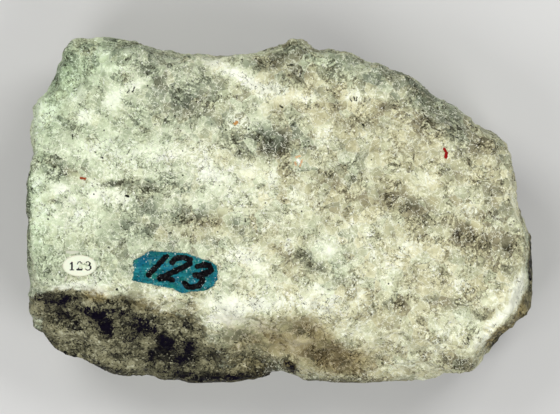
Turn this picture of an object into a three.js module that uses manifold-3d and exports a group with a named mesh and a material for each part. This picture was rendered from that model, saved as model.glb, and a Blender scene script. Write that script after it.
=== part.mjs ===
// A hand specimen of coarse marble: a hammer-trimmed block with a small oval number label stuck on its top face.
// Units are millimetres. +X runs along the length, +Y across it, +Z up.
// The origin is on the surface that the block lies on, under the middle of the block.
import * as THREE from "three";
import { mergeVertices } from "three/addons/utils/BufferGeometryUtils.js";
import Module from "manifold-3d";

// Driving dimensions
const LENGTH = 120;
const WIDTH = 82;
const HEIGHT = 40;
const LABEL_LENGTH = 8.1;
const LABEL_WIDTH = 5;
const LABEL_THICKNESS = 0.3;
const LABEL_AT = [-47, -13];
const GLUE_GAP = 0.1;

// The block seen from above, anticlockwise from the lower right corner: the widest line all round its walls
const OUTLINE = [
  [48.4, -35.4], [51.6, -30.4], [54, -27.4], [57, -25.6], [58.4, -23], [59.2, -18], [60, -13],
  [59.4, -8.5], [58, -4.7], [56.8, 1], [55.6, 6], [55.2, 11], [53.7, 14.2], [51.6, 17.3], [49, 19.1],
  [46, 19.5], [44.8, 21.8], [42.4, 23.2], [39.3, 25.8], [35.3, 28.2], [32, 30.7], [27.8, 32.2],
  [23.5, 34.6], [19.8, 35.6], [17.1, 37.4], [12.9, 37.2], [8.9, 37.8], [7.4, 39.3], [4.6, 40.6],
  [2.2, 41], [-0.1, 39.3], [-2.5, 37.9], [-7.2, 36.6], [-12, 36], [-17.8, 36.1], [-20.2, 37.3],
  [-26.8, 37.4], [-30.8, 38.3], [-34.4, 39.5], [-38.6, 40.4], [-41.5, 41], [-45, 40.6], [-47.8, 40.4],
  [-49.7, 39.2], [-51, 37.2], [-51.6, 35.2], [-53.5, 32.8], [-55.4, 30.2], [-56.2, 27.6], [-58.2, 24.6],
  [-58.8, 21.3], [-58.9, 16.5], [-58.6, 11.8], [-59.4, 7], [-60, 1], [-60, -6], [-59.6, -14.2],
  [-59.2, -20.2], [-58.7, -23.8], [-58.2, -27.2], [-56.3, -29.4], [-54.4, -31.2], [-52, -32.8],
  [-49.4, -34.4], [-46.2, -36], [-42.6, -37.9], [-35.5, -39], [-31.3, -38.3], [-28.5, -39.4],
  [-24.9, -39.8], [-20.2, -40.6], [-15.5, -41], [-9.6, -40.2], [-4.4, -39.6], [-1.3, -37.6],
  [1.1, -37.4], [4.6, -39], [9.3, -39.8], [16.4, -40.6], [28.2, -40.4], [35.3, -39.2], [39.3, -38.2],
  [43.8, -38], [46.2, -37.4],
];

// The four corners of the block in plan, which are points of the outline, anticlockwise from the lower right one
const CORNERS = [[48.4, -35.4], [44.8, 21.8], [-51, 37.2], [-56.3, -29.4]];

// Broken faces, each a plane: where it faces in plan, how far it leans from level, and a point that it goes through.
// Angles are in degrees. A lean of 90 is an upright wall, and of 180 the underside.
const FACES = [
  { name: "top", facing: 20, lean: 1.2, through: [-20, 0, 38.4] },
  { name: "top, right half", facing: 32, lean: 5, through: [18, 0, 38.2] },
  { name: "top, lower right", facing: -75, lean: 7, through: [34, -22, 37.4] },
  { name: "dark slope, lower left", facing: -97, lean: 42, through: [-40, -19.6, 37.8] },
  { name: "left shoulder", facing: 152, lean: 34, through: [-50.6, 28.5, 38] },
  { name: "back edge, left", facing: 96, lean: 27, through: [-40, 34.4, 37.8] },
  { name: "back edge, middle", facing: 88, lean: 40, through: [-16, 34.2, 37.8] },
  { name: "back peak", facing: 82, lean: 28, through: [8, 30.5, 37.2] },
  { name: "back edge, right", facing: 60, lean: 36, through: [34, 21, 36.4] },
  { name: "right corner", facing: 38, lean: 44, through: [47.5, 15, 36] },
  { name: "right wall, upper", facing: 8, lean: 86, through: [55.6, 5, 34] },
  { name: "right wall, lower half", facing: -8, lean: 79, through: [57.4, -14, 36] },
  { name: "lower right wall", facing: -40, lean: 79, through: [51, -27.4, 36] },
  { name: "left wall", facing: 182, lean: 86, through: [-59, -5, 36] },
  { name: "left wall, foot", facing: 190, lean: 112, through: [-59, -6, 12] },
  { name: "left back wall, foot", facing: 140, lean: 108, through: [-54, 30, 14] },
  { name: "back wall, foot", facing: 92, lean: 104, through: [-24, 37, 14] },
  { name: "back right wall, foot", facing: 58, lean: 110, through: [34, 27, 15] },
  { name: "right wall, foot", facing: -4, lean: 106, through: [58, -12, 13] },
  { name: "lower right wall, foot", facing: -46, lean: 112, through: [51, -31, 12] },
  { name: "front wall, foot", facing: -88, lean: 103, through: [14, -40, 14] },
  { name: "front left wall, foot", facing: -112, lean: 122, through: [-36, -38, 13] },
  { name: "underside", facing: 0, lean: 180, through: [0, 0, 0.2] },
  { name: "underside, left", facing: 205, lean: 170, through: [-20, 0, 0.2] },
  { name: "underside, right", facing: -12, lean: 168, through: [25, 0, 0.2] },
  { name: "underside, back", facing: 84, lean: 163, through: [0, 17, 0.2] },
  { name: "underside, front", facing: -95, lean: 158, through: [0, -17, 0.2] },
];
const EDGE_ROUNDING = 0.9;

// Shallow scoops left by hammer blows: a ball of this radius bites this deep at this place, coming from this side
const SCOOPS = [
  { name: "brown hollow, front middle", at: [-1, -33.5, 34.8], from: [-0.25, -0.75, 0.75], radius: 26, depth: 4.6 },
  { name: "front edge, middle", at: [10, -39, 30], from: [-0.3, -0.9, 0.5], radius: 20, depth: 1.6 },
  { name: "dark slope, left end", at: [-50, -29, 29], from: [-0.4, -0.7, 0.6], radius: 18, depth: 1.2 },
  { name: "top, left step", at: [-44, 24, 38.4], from: [-0.3, 0.4, 1], radius: 24, depth: 0.9 },
  { name: "top, middle", at: [2, 14, 38.4], from: [0, 0, 1], radius: 50, depth: 1.1 },
  { name: "right wall", at: [58, -4, 20], from: [1, 0.2, 0.1], radius: 22, depth: 1.8 },
  { name: "back wall", at: [-12, 37, 20], from: [0, 1, 0.1], radius: 30, depth: 2.2 },
  { name: "back right wall", at: [38, 27, 20], from: [0.6, 0.8, -0.2], radius: 24, depth: 2 },
  { name: "left wall", at: [-60, 10, 18], from: [-1, 0.1, -0.1], radius: 34, depth: 1.6 },
  { name: "underside", at: [-30, 12, 3], from: [-0.3, 0.3, -1], radius: 30, depth: 2.4 },
];
const SCOOP_ROUNDING = 0.6;

// How the walls draw in above and below their widest level
const WIDEST_LEVEL = 19;
const WALL_DRAW_IN = 0.9;
const WALL_DRAW_IN_BELOW = 2.6;

// Relief of the broken surface: rolling swells, and chips that are shallow hollows with sharp ridges between them.
// Each chip pattern starts from its own origin, so that the edges of their cells don't fall together.
const SWELLS = [
  { length: 30, height: 0.8 },
  { length: 9, height: 0.35 },
];
const SWELL_TURN = new THREE.Euler(0.5, 0.4, 0.6);
const CHIPS = [
  { size: 17, lean: 0.055, hollow: 0.012, origin: [5.3, 2.1, 7.7] },
  { size: 9, lean: 0.07, hollow: 0.03, origin: [3.9, 6.2, 1.4] },
  { size: 5.5, lean: 0.065, hollow: 0.042, origin: [1.1, 2.9, 3.3] },
];
const CHIP_MIDDLE = 0.28;

// The outline already holds the relief of the walls at their widest, so the walls are only bitten inwards
const WALL_SINK = 0.5;
const WALL_MOST_OUT = 0.25;
const FULL_RELIEF_INWARDS = 4;

// The label is stuck on a nearly flat spot, and the relief grows from none at the first reach to all at the second.
// Both are shares of the label's size.
const FLAT_SPOT_REACH = [0.66, 1.5];

// The grid that is wrapped round the block
const CELLS_LONG = 44;
const CELLS_WIDE = 31;
const CELLS_HIGH = 12;
const CORE = 0.66;
const GRID_JITTER = 0.3;

// Points this near to each other are one point
const MERGE_WITHIN = 1e-4;

// How the surface is searched for
const MOST_STEPS = 60;
const NEAR_ENOUGH = 0.01;
const CAUTION = 0.8;

// Each use of the repeatable random numbers has its own salt
const SWELL_SALT = 1;
const CHIP_SALT = 20;
const CHIP_SALT_STEP = 10;
const RING_SALT = 51;
const LEVEL_SALT = 52;

const wasm = await Module();
wasm.setup();

const radians = THREE.MathUtils.degToRad;
const clamp = THREE.MathUtils.clamp;

// A repeatable random number from 0 to 1 for a cell of space
function cellRandom(i, j, k, salt) {
  let h = 0x9e3779b9 ^ salt;
  for (const index of [i, j, k, salt]) {
    h = Math.imul(h ^ index, 0x85ebca6b);
    h = Math.imul(h ^ (h >>> 13), 0xc2b2ae35);
    h ^= h >>> 16;
  }
  return (h >>> 0) / 4294967296;
}

// Smooth noise from -1 to 1 with one swell about every unit
function noise(x, y, z, salt) {
  const cell = [x, y, z].map(Math.floor);
  const [u, v, w] = [x, y, z].map((value, axis) => {
    const t = value - cell[axis];
    return t * t * (3 - 2 * t);
  });
  let sum = 0;
  for (let corner = 0; corner < 8; corner++) {
    const [a, b, c] = [corner & 1, (corner >> 1) & 1, corner >> 2];
    const weight = (a ? u : 1 - u) * (b ? v : 1 - v) * (c ? w : 1 - w);
    sum += weight * cellRandom(cell[0] + a, cell[1] + b, cell[2] + c, salt);
  }
  return sum * 2 - 1;
}

// Space is parted into random cells. Each holds a shallow hollow that leans its own way, and the deepest one counts.
function chips(point, { size, lean, hollow, origin }, salt) {
  const place = point.map((value, axis) => value + origin[axis]);
  const cell = place.map((value) => Math.floor(value / size));
  let height = Infinity;
  for (let i = cell[0] - 1; i <= cell[0] + 1; i++)
    for (let j = cell[1] - 1; j <= cell[1] + 1; j++)
      for (let k = cell[2] - 1; k <= cell[2] + 1; k++) {
        let own = 0;
        [i, j, k].forEach((index, axis) => {
          const away = place[axis] - (index + cellRandom(i, j, k, salt + axis)) * size;
          own += away * (cellRandom(i, j, k, salt + 3 + axis) * 2 - 1) * lean + away * away * hollow;
        });
        height = Math.min(height, own);
      }
  return height - size * size * hollow * CHIP_MIDDLE;
}

// How far the broken surface stands out at a point
function relief(point) {
  const turned = point.clone().applyEuler(SWELL_TURN);
  let height = 0;
  SWELLS.forEach(({ length, height: swell }, salt) => {
    height += swell * noise(turned.x / length, turned.y / length, turned.z / length, salt + SWELL_SALT);
  });
  CHIPS.forEach((kind, index) => {
    height += chips(point.toArray(), kind, CHIP_SALT + index * CHIP_SALT_STEP);
  });
  return height;
}

// The larger of two values, with the corner between them rounded over
function roundedMax(a, b, rounding) {
  const h = Math.max(rounding - Math.abs(a - b), 0) / rounding;
  return Math.max(a, b) + (h * h * rounding) / 4;
}

// How far a point of the plan lies outside the outline; inside is negative
function outsideOutline(x, y) {
  let nearest = Infinity;
  let inside = false;
  OUTLINE.forEach(([ax, ay], index) => {
    const [bx, by] = OUTLINE[(index + 1) % OUTLINE.length];
    const along = clamp(((x - ax) * (bx - ax) + (y - ay) * (by - ay)) / ((bx - ax) ** 2 + (by - ay) ** 2), 0, 1);
    nearest = Math.min(nearest, Math.hypot(x - ax - along * (bx - ax), y - ay - along * (by - ay)));
    if (ay > y !== by > y && x < ax + ((y - ay) * (bx - ax)) / (by - ay)) inside = !inside;
  });
  return inside ? -nearest : nearest;
}

const faces = FACES.map(({ facing, lean, through }) => {
  const normal = new THREE.Vector3(
    Math.cos(radians(facing)) * Math.sin(radians(lean)),
    Math.sin(radians(facing)) * Math.sin(radians(lean)),
    Math.cos(radians(lean)),
  );
  return { normal, distance: normal.dot(new THREE.Vector3(...through)) };
});

const scoops = SCOOPS.map(({ at, from, radius, depth }) => ({
  centre: new THREE.Vector3(...from).normalize().multiplyScalar(radius - depth).add(new THREE.Vector3(...at)),
  radius,
}));

// How far a point lies outside the block. The block is what all its faces and walls leave, less the scoops.
function outsideBlock(p) {
  const step = (p.z - WIDEST_LEVEL) / WIDEST_LEVEL;
  const drawIn = step * step * (step > 0 ? WALL_DRAW_IN : WALL_DRAW_IN_BELOW);
  let outside = outsideOutline(p.x, p.y) + drawIn;
  for (const { normal, distance } of faces)
    outside = roundedMax(outside, normal.dot(p) - distance, EDGE_ROUNDING);
  for (const { centre, radius } of scoops)
    outside = roundedMax(outside, radius - centre.distanceTo(p), SCOOP_ROUNDING);
  return outside;
}

// The four sides of the outline between its corners, each a path of points
function outlineSides() {
  const starts = CORNERS.map(([x, y]) => OUTLINE.findIndex(([u, v]) => u === x && v === y));
  return starts.map((start, side) => {
    const end = starts[(side + 1) % starts.length] || OUTLINE.length;
    const points = [...OUTLINE, OUTLINE[0]].slice(start, end + 1);
    return new THREE.Path(points.map(([x, y]) => new THREE.Vector2(x, y)));
  });
}

const sides = outlineSides();

// The point of the outline for a point on the rim of a square from -1 to 1
function outlinePoint(u, v) {
  if (u === 1) return sides[0].getPointAt((v + 1) / 2);
  if (v === 1) return sides[1].getPointAt((1 - u) / 2);
  if (u === -1) return sides[2].getPointAt((1 - v) / 2);
  return sides[3].getPointAt((u + 1) / 2);
}

// From a point well inside, the place along a direction where the block ends
function surfaceFrom(start, direction) {
  const point = start.clone();
  for (let step = 0; step < MOST_STEPS; step++) {
    const left = -outsideBlock(point);
    if (left < NEAR_ENOUGH) break;
    point.addScaledVector(direction, left * CAUTION);
  }
  return point;
}

// The relief that a point of the surface gets: all of it on the top, and on the walls only what bites inwards
function reliefAt(point) {
  const inwards = clamp(-outsideOutline(point.x, point.y) / FULL_RELIEF_INWARDS, 0, 1);
  const full = relief(point);
  const height = THREE.MathUtils.lerp(Math.min(full - WALL_SINK, WALL_MOST_OUT), full, inwards);
  if (point.z < HEIGHT / 2) return height;
  const away = Math.hypot((point.x - LABEL_AT[0]) / LABEL_LENGTH, (point.y - LABEL_AT[1]) / LABEL_WIDTH);
  return height * THREE.MathUtils.smoothstep(away, ...FLAT_SPOT_REACH);
}

// Each four-sided cell of the grid is parted along its shorter diagonal, so that no ridge is cut by a long sliver
function partCells(geometry) {
  const position = geometry.getAttribute("position");
  const corner = (i) => new THREE.Vector3().fromBufferAttribute(position, i);
  const index = geometry.index.array;
  for (let i = 0; i < index.length; i += 6) {
    const [a, b, d, , c] = index.slice(i, i + 5);
    if (corner(a).distanceTo(corner(c)) < corner(b).distanceTo(corner(d))) index.set([a, b, c, a, c, d], i);
  }
}

// A box grid is laid in rings round the plan of the block, and each of its points is sent out to the surface:
// straight up or down over the core, and from the rim of the core sideways towards the walls
function blockGeometry() {
  const grid = new THREE.BoxGeometry(2, 2, 2, CELLS_LONG, CELLS_WIDE, CELLS_HIGH);
  grid.deleteAttribute("normal");
  grid.deleteAttribute("uv");
  const geometry = mergeVertices(grid, MERGE_WITHIN);
  const position = geometry.getAttribute("position");
  const middle = HEIGHT / 2;
  for (let i = 0; i < position.count; i++) {
    const [x, y, z] = [position.getX(i), position.getY(i), position.getZ(i)].map((value) => Number(value.toFixed(5)));
    const reach = Math.max(Math.abs(x), Math.abs(y));
    const edge = reach === 0 ? new THREE.Vector2(0, 0) : outlinePoint(x / reach, y / reach);
    const nudge = (salt) => (cellRandom(i, 0, 0, salt) - 0.5) * GRID_JITTER;
    const ring = reach === 0 || reach === 1 ? reach : reach + nudge(RING_SALT) / CELLS_WIDE;
    const level = Math.abs(z) === 1 ? z : z + nudge(LEVEL_SALT) / CELLS_HIGH;
    const core = Math.min(ring, CORE);
    const start = new THREE.Vector3(edge.x * core, edge.y * core, middle);
    const aim = new THREE.Vector3(edge.x * ring, edge.y * ring, middle + level * middle);
    const direction = ring <= CORE ? new THREE.Vector3(0, 0, Math.sign(z)) : aim.sub(start).normalize();
    const found = surfaceFrom(start, direction);
    found.addScaledVector(direction, reliefAt(found));
    position.setXYZ(i, found.x, found.y, found.z);
  }
  partCells(geometry);
  return geometry;
}

// A closed solid from the triangles of a geometry
function solidOf(geometry) {
  const bare = geometry.clone();
  bare.deleteAttribute("normal");
  bare.deleteAttribute("uv");
  const merged = mergeVertices(bare, MERGE_WITHIN);
  return new wasm.Manifold(
    new wasm.Mesh({
      numProp: 3,
      vertProperties: new Float32Array(merged.getAttribute("position").array),
      triVerts: new Uint32Array(merged.index.array),
    }),
  );
}

// The triangles of a solid as a geometry
function geometryOf(solid) {
  const mesh = solid.getMesh();
  const geometry = new THREE.BufferGeometry();
  const positions = new Float32Array(mesh.numVert * 3);
  for (let i = 0; i < mesh.numVert; i++)
    positions.set(mesh.vertProperties.subarray(i * mesh.numProp, i * mesh.numProp + 3), i * 3);
  geometry.setAttribute("position", new THREE.BufferAttribute(positions, 3));
  geometry.setIndex(new THREE.BufferAttribute(mesh.triVerts, 1));
  geometry.computeVertexNormals();
  return geometry;
}

const OVAL_SEGMENTS = 24;

// An oval plate lying on a level
function ovalPlate(length, width, level, thickness) {
  const oval = new THREE.Shape().absellipse(LABEL_AT[0], LABEL_AT[1], length / 2, width / 2, 0, Math.PI * 2);
  const plate = new THREE.ExtrudeGeometry(oval, { depth: thickness, bevelEnabled: false, curveSegments: OVAL_SEGMENTS });
  return plate.translate(0, 0, level);
}

const SEAT_MARGIN = 0.5;
const SEAT_LEVEL_STEP = 0.1;
const SEAT_LOOK_REACH = 0.75;
const FOOT_CUT_DEPTH = 10;

// The block brought to its full size, with its middle over the origin and its underside still at the ground
function fullSize(solid) {
  const { min, max } = solid.boundingBox();
  const middle = [(min[0] + max[0]) / 2, (min[1] + max[1]) / 2];
  const scale = [LENGTH / (max[0] - min[0]), WIDTH / (max[1] - min[1]), HEIGHT / max[2]];
  return solid.translate([-middle[0], -middle[1], 0]).scale(scale);
}

// The rough block stands on the small flats where its underside is cut level, and the label has a level seat
function finishedBlock() {
  const rough = fullSize(solidOf(blockGeometry()));
  const ground = new THREE.BoxGeometry(LENGTH * 2, WIDTH * 2, FOOT_CUT_DEPTH);
  ground.translate(0, 0, -FOOT_CUT_DEPTH / 2);
  const standing = rough.subtract(solidOf(ground));
  const seatLevel = labelSeatLevel(standing);
  const seat = ovalPlate(LABEL_LENGTH + SEAT_MARGIN, LABEL_WIDTH + SEAT_MARGIN, seatLevel, HEIGHT);
  return { stone: standing.subtract(solidOf(seat)), seatLevel };
}

// The lowest level of the surface round the label, so that the seat is level all over and takes little away
function labelSeatLevel(solid) {
  const mesh = solid.getMesh();
  let lowest = Infinity;
  for (let i = 0; i < mesh.numVert; i++) {
    const [x, y, z] = mesh.vertProperties.subarray(i * mesh.numProp, i * mesh.numProp + 3);
    const near = Math.hypot((x - LABEL_AT[0]) / LABEL_LENGTH, (y - LABEL_AT[1]) / LABEL_WIDTH);
    if (z > HEIGHT / 2 && near < SEAT_LOOK_REACH) lowest = Math.min(lowest, z);
  }
  return Math.floor(lowest / SEAT_LEVEL_STEP) * SEAT_LEVEL_STEP;
}

const marble = new THREE.MeshStandardMaterial({ color: 0xcfd2b6, roughness: 0.55, metalness: 0 });
const paper = new THREE.MeshStandardMaterial({ color: 0xf3f1e2, roughness: 0.8, metalness: 0 });

const { stone, seatLevel } = finishedBlock();

const marbleBlock = new THREE.Mesh(geometryOf(stone), marble);
marbleBlock.name = "marble_block";

const numberLabel = new THREE.Mesh(
  ovalPlate(LABEL_LENGTH, LABEL_WIDTH, seatLevel + GLUE_GAP, LABEL_THICKNESS),
  paper,
);
numberLabel.name = "number_label";

const specimen = new THREE.Group();
specimen.name = "marble_hand_specimen";
specimen.add(marbleBlock, numberLabel);

export default specimen;
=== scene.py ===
# %% [markdown]
# A marble hand specimen
#
# This lesson dresses a block of coarse marble, as a geologist keeps it in a drawer: broken to size with a
# hammer, with a small printed number label stuck on and the same number brushed on in paint. The solid model
# of the block is loaded first. It has the real size, the outline and the broken faces. The scene adds what is
# too fine for a solid: the crystal grain, the colours of the stone, the paint and the paper.
# Lengths in this script are in millimetres unless a name says otherwise, and MM turns them into metres.

# %% Load the solid model
import math

import bpy
import numpy as np
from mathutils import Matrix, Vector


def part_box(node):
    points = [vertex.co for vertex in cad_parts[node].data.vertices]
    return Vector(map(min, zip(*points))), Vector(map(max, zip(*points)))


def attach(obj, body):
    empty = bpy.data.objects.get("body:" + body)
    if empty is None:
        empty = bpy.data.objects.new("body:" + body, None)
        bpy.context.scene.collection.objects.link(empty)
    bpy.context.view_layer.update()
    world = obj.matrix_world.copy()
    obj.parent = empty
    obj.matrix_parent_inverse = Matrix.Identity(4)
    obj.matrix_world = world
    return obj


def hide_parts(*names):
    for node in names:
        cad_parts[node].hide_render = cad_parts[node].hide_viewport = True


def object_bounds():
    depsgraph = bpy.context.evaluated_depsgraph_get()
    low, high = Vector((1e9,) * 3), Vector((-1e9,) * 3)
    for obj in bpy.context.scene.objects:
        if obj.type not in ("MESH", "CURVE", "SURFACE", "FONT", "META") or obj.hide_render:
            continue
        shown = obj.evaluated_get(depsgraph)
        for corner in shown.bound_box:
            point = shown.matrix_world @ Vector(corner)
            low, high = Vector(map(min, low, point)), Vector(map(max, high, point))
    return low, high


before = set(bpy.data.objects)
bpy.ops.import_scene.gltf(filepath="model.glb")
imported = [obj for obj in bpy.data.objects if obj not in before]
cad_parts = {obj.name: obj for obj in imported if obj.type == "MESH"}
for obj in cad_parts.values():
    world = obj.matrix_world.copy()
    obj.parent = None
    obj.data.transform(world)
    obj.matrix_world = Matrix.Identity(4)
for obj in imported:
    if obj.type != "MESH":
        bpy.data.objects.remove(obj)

CAD_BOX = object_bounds()
MM = 0.001
print("solid model's box, mm:", [[round(v / MM, 2) for v in corner] for corner in CAD_BOX])

# %% [markdown]
# The photograph looks straight down on the labelled face from far away. Marks such as veins and stains are
# easiest to place where they show in the photograph, so they are given in pixels of the photograph and turned
# into millimetres here. The top face is nearer to the lens than the middle of the block, so it shows about one
# per cent larger.

# %% From pixels of the photograph to millimetres on the block
MM_PER_PIXEL = 120 / 508
PIXEL_CENTRE = (280.5, 210)
SCALE_LEVEL = 20
LENS_HEIGHT = 1700


def on_top(px, py, level=38):
    """The place in plan, in mm, of a pixel that shows something at this level."""
    nearer = (LENS_HEIGHT - level) / (LENS_HEIGHT - SCALE_LEVEL)
    right, back = px - PIXEL_CENTRE[0], PIXEL_CENTRE[1] - py
    return (right * MM_PER_PIXEL * nearer, back * MM_PER_PIXEL * nearer)


print("the label's middle is at", [round(v, 2) for v in on_top(79.5, 265.7)])

# %% [markdown]
# The camera stands 1.7 m above the table and looks straight down through a long lens, as on a copy stand. A
# long lens keeps the walls from spreading out, so they show only as narrow strips, as in the photograph.

# %% The camera above the table
PHOTO_SIZE = (560, 414)
SENSOR_WIDTH = 36

bpy.ops.object.select_all(action="DESELECT")
view_x = (PHOTO_SIZE[0] / 2 - PIXEL_CENTRE[0]) * MM_PER_PIXEL
view_y = (PIXEL_CENTRE[1] - PHOTO_SIZE[1] / 2) * MM_PER_PIXEL
bpy.ops.object.camera_add(location=(view_x * MM, view_y * MM, LENS_HEIGHT * MM), rotation=(0, 0, 0))
camera = bpy.context.object
camera.name = "copy_stand_camera"
camera.data.sensor_fit = "HORIZONTAL"
camera.data.sensor_width = SENSOR_WIDTH
camera.data.lens = SENSOR_WIDTH * (LENS_HEIGHT - SCALE_LEVEL) / (PHOTO_SIZE[0] * MM_PER_PIXEL)
camera.data.clip_start = 0.05
camera.data.clip_end = 20
bpy.context.scene.camera = camera
print("lens, mm:", round(camera.data.lens, 1))

# %% [markdown]
# The floor is a plain pale sheet, and the light is soft: four nearly equal soft boxes stand round the lens and
# a weak even glow comes from all sides. The boxes stand off to the sides because a lamp straight above would
# be mirrored by the level, glossy paint and make it milky. The colours are shown as they are, with no film
# look over them.

# %% The floor and the light
FLOOR_SIZE_M = 6
LAMP_DISTANCE_M = 1.0
LAMP_SIZE_M = 0.4
LAMP_FROM_VERTICAL = 36
LAMP_POWERS = {45: 3.0, 135: 3.4, 225: 2.9, 315: 3.2}
GLOW = 0.25


def principled(name, **settings):
    """A new material with its Principled shader, whose named inputs are set."""
    material = bpy.data.materials.new(name)
    material.use_nodes = True
    shader = material.node_tree.nodes["Principled BSDF"]
    for key, value in settings.items():
        shader.inputs[key.replace("_", " ")].default_value = value
    return material, shader


bpy.ops.mesh.primitive_plane_add(size=FLOOR_SIZE_M, location=(0, 0, -0.1 * MM))
floor = bpy.context.object
floor.name = "floor_sheet"
floor_paint, _ = principled("pale_sheet", Base_Color=(0.6, 0.6, 0.59, 1), Roughness=0.9)
floor.data.materials.append(floor_paint)

lean = math.radians(LAMP_FROM_VERTICAL)
for direction, power in LAMP_POWERS.items():
    turn = math.radians(direction)
    out = LAMP_DISTANCE_M * math.sin(lean)
    place = (out * math.cos(turn), out * math.sin(turn), LAMP_DISTANCE_M * math.cos(lean))
    bpy.ops.object.light_add(type="AREA", location=place, rotation=(0, lean, turn))
    lamp = bpy.context.object
    lamp.name = f"soft_box_{direction}"
    lamp.data.shape = "SQUARE"
    lamp.data.size = LAMP_SIZE_M
    lamp.data.energy = power

world = bpy.data.worlds.new("even_glow")
world.use_nodes = True
world.node_tree.nodes["Background"].inputs["Color"].default_value = (1, 1, 1, 1)
world.node_tree.nodes["Background"].inputs["Strength"].default_value = GLOW
bpy.context.scene.world = world
bpy.context.scene.view_settings.view_transform = "Standard"
print("lamps", LAMP_POWERS, "W, glow", GLOW)

# %% [markdown]
# The stone's mesh starts as a copy of the solid. The solid has about ten thousand triangles, some 2.7 mm long,
# and a marble crystal is only 1 to 3 mm across, so the copy is made anew as an even net with a voxel remesh.
# That also rounds off the triangles' own edges. The solid itself is left as it is.

# %% A fine net over the solid
NET_SIZE = 0.46
NET_SMOOTHINGS = 9


def apply_modifier(piece, kind, **settings):
    """Adds one modifier, sets it and applies it."""
    bpy.context.view_layer.objects.active = piece
    modifier = piece.modifiers.new(kind.lower(), kind)
    for key, value in settings.items():
        setattr(modifier, key, value)
    bpy.ops.object.modifier_apply(modifier=modifier.name)


def copy_of_node(node, name):
    """A copy of a solid's mesh as a new piece at the origin, with its loose triangles joined up."""
    bpy.ops.object.select_all(action="DESELECT")
    piece = bpy.data.objects.new(name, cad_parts[node].data.copy())
    bpy.context.scene.collection.objects.link(piece)
    piece.data.transform(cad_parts[node].matrix_world)
    piece.select_set(True)
    bpy.context.view_layer.objects.active = piece
    bpy.ops.object.mode_set(mode="EDIT")
    bpy.ops.mesh.select_all(action="SELECT")
    bpy.ops.mesh.remove_doubles(threshold=0.001 * MM)
    bpy.ops.object.mode_set(mode="OBJECT")
    return piece


stone = copy_of_node("marble_block", "marble_stone")
apply_modifier(stone, "REMESH", mode="VOXEL", voxel_size=NET_SIZE * MM)
apply_modifier(stone, "SMOOTH", factor=0.5, iterations=NET_SMOOTHINGS)
print("net:", len(stone.data.vertices), "points")

# %% [markdown]
# Marble breaks from crystal to crystal. Two things can be seen on such a face: scalloped hollows a few
# millimetres wide, and on them the flat cleavage faces of single crystals, each tilted its own way. Both are
# cell patterns. For a hollow, every cell of space holds a shallow bowl, and the deepest bowl counts, so that
# sharp ridges are left between them. For a crystal, the nearest cell counts, and its face is a tilted plane.
# A displacement texture can't tilt its cells, so the points are moved in code, along their normals.

# %% Bowls and crystal faces as cell patterns
TABLE_SIZE = 65536
RANDOM_TABLE = np.random.default_rng(23).random((TABLE_SIZE, 7))
MIXERS = (73856093, 19349663, 83492791, 26544357)        # large odd numbers that shuffle the cells


def read_points(piece):
    """All points of a piece and their normals, the points in mm."""
    count = len(piece.data.vertices)
    points, normals = np.empty(count * 3), np.empty(count * 3)
    piece.data.vertices.foreach_get("co", points)
    piece.data.vertex_normals.foreach_get("vector", normals)
    return points.reshape(-1, 3) / MM, normals.reshape(-1, 3)


def write_points(piece, points):
    piece.data.vertices.foreach_set("co", (points * MM).ravel())
    piece.data.update()


def cell_random(cells, seed):
    """Seven repeatable random numbers for each cell of space."""
    x, y, z = cells.T
    mixed = x * MIXERS[0] ^ y * MIXERS[1] ^ z * MIXERS[2] ^ seed * MIXERS[3]
    return RANDOM_TABLE[(mixed ^ mixed >> 13) & (TABLE_SIZE - 1)]


def neighbour_cells(points, size):
    """The 27 cells round each point, one after another."""
    home = np.floor(points / size).astype(np.int64)
    for shift in np.ndindex(3, 3, 3):
        yield home + np.array(shift) - 1


def bowls(points, size, lean, hollow, seed):
    """Height of shallow leaning bowls with ridges between them, about zero on average."""
    height = np.full(len(points), np.inf)
    for cells in neighbour_cells(points, size):
        random = cell_random(cells, seed)
        away = points - (cells + random[:, :3]) * size
        bowl = ((random[:, 3:6] * 2 - 1) * away).sum(1) * lean + (away**2).sum(1) * hollow
        height = np.minimum(height, bowl)
    return height - height.mean()


def crystal_faces(points, size, tilt, step, seed):
    """Height of flat crystal faces, each tilted its own way and standing a little higher or lower."""
    nearest = np.full(len(points), np.inf)
    height = np.zeros(len(points))
    for cells in neighbour_cells(points, size):
        random = cell_random(cells, seed)
        away = points - (cells + random[:, :3]) * size
        distance = (away**2).sum(1)
        face = ((random[:, 3:6] * 2 - 1) * away).sum(1) * tilt + (random[:, 6] - 0.5) * step
        closer = distance < nearest
        nearest = np.where(closer, distance, nearest)
        height = np.where(closer, face, height)
    return height


# %% [markdown]
# The solid's outline runs straight between its corners, and the stone's is more restless. So stretches of the
# edge are first moved by a millimetre or two, each as a soft oval that moves all that lies in it, from top to
# foot. Then come two sizes of bowls and two of crystal faces. They fade out in two places: on the worn flats
# under the block, so that it rests where the solid rests, and under the paper label, which is stuck on a
# smooth spot. Last, a soft limit holds back what would stand out of the solid's box. Points well inside it
# stay where they are, which a scaling of the whole stone wouldn't do.

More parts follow.
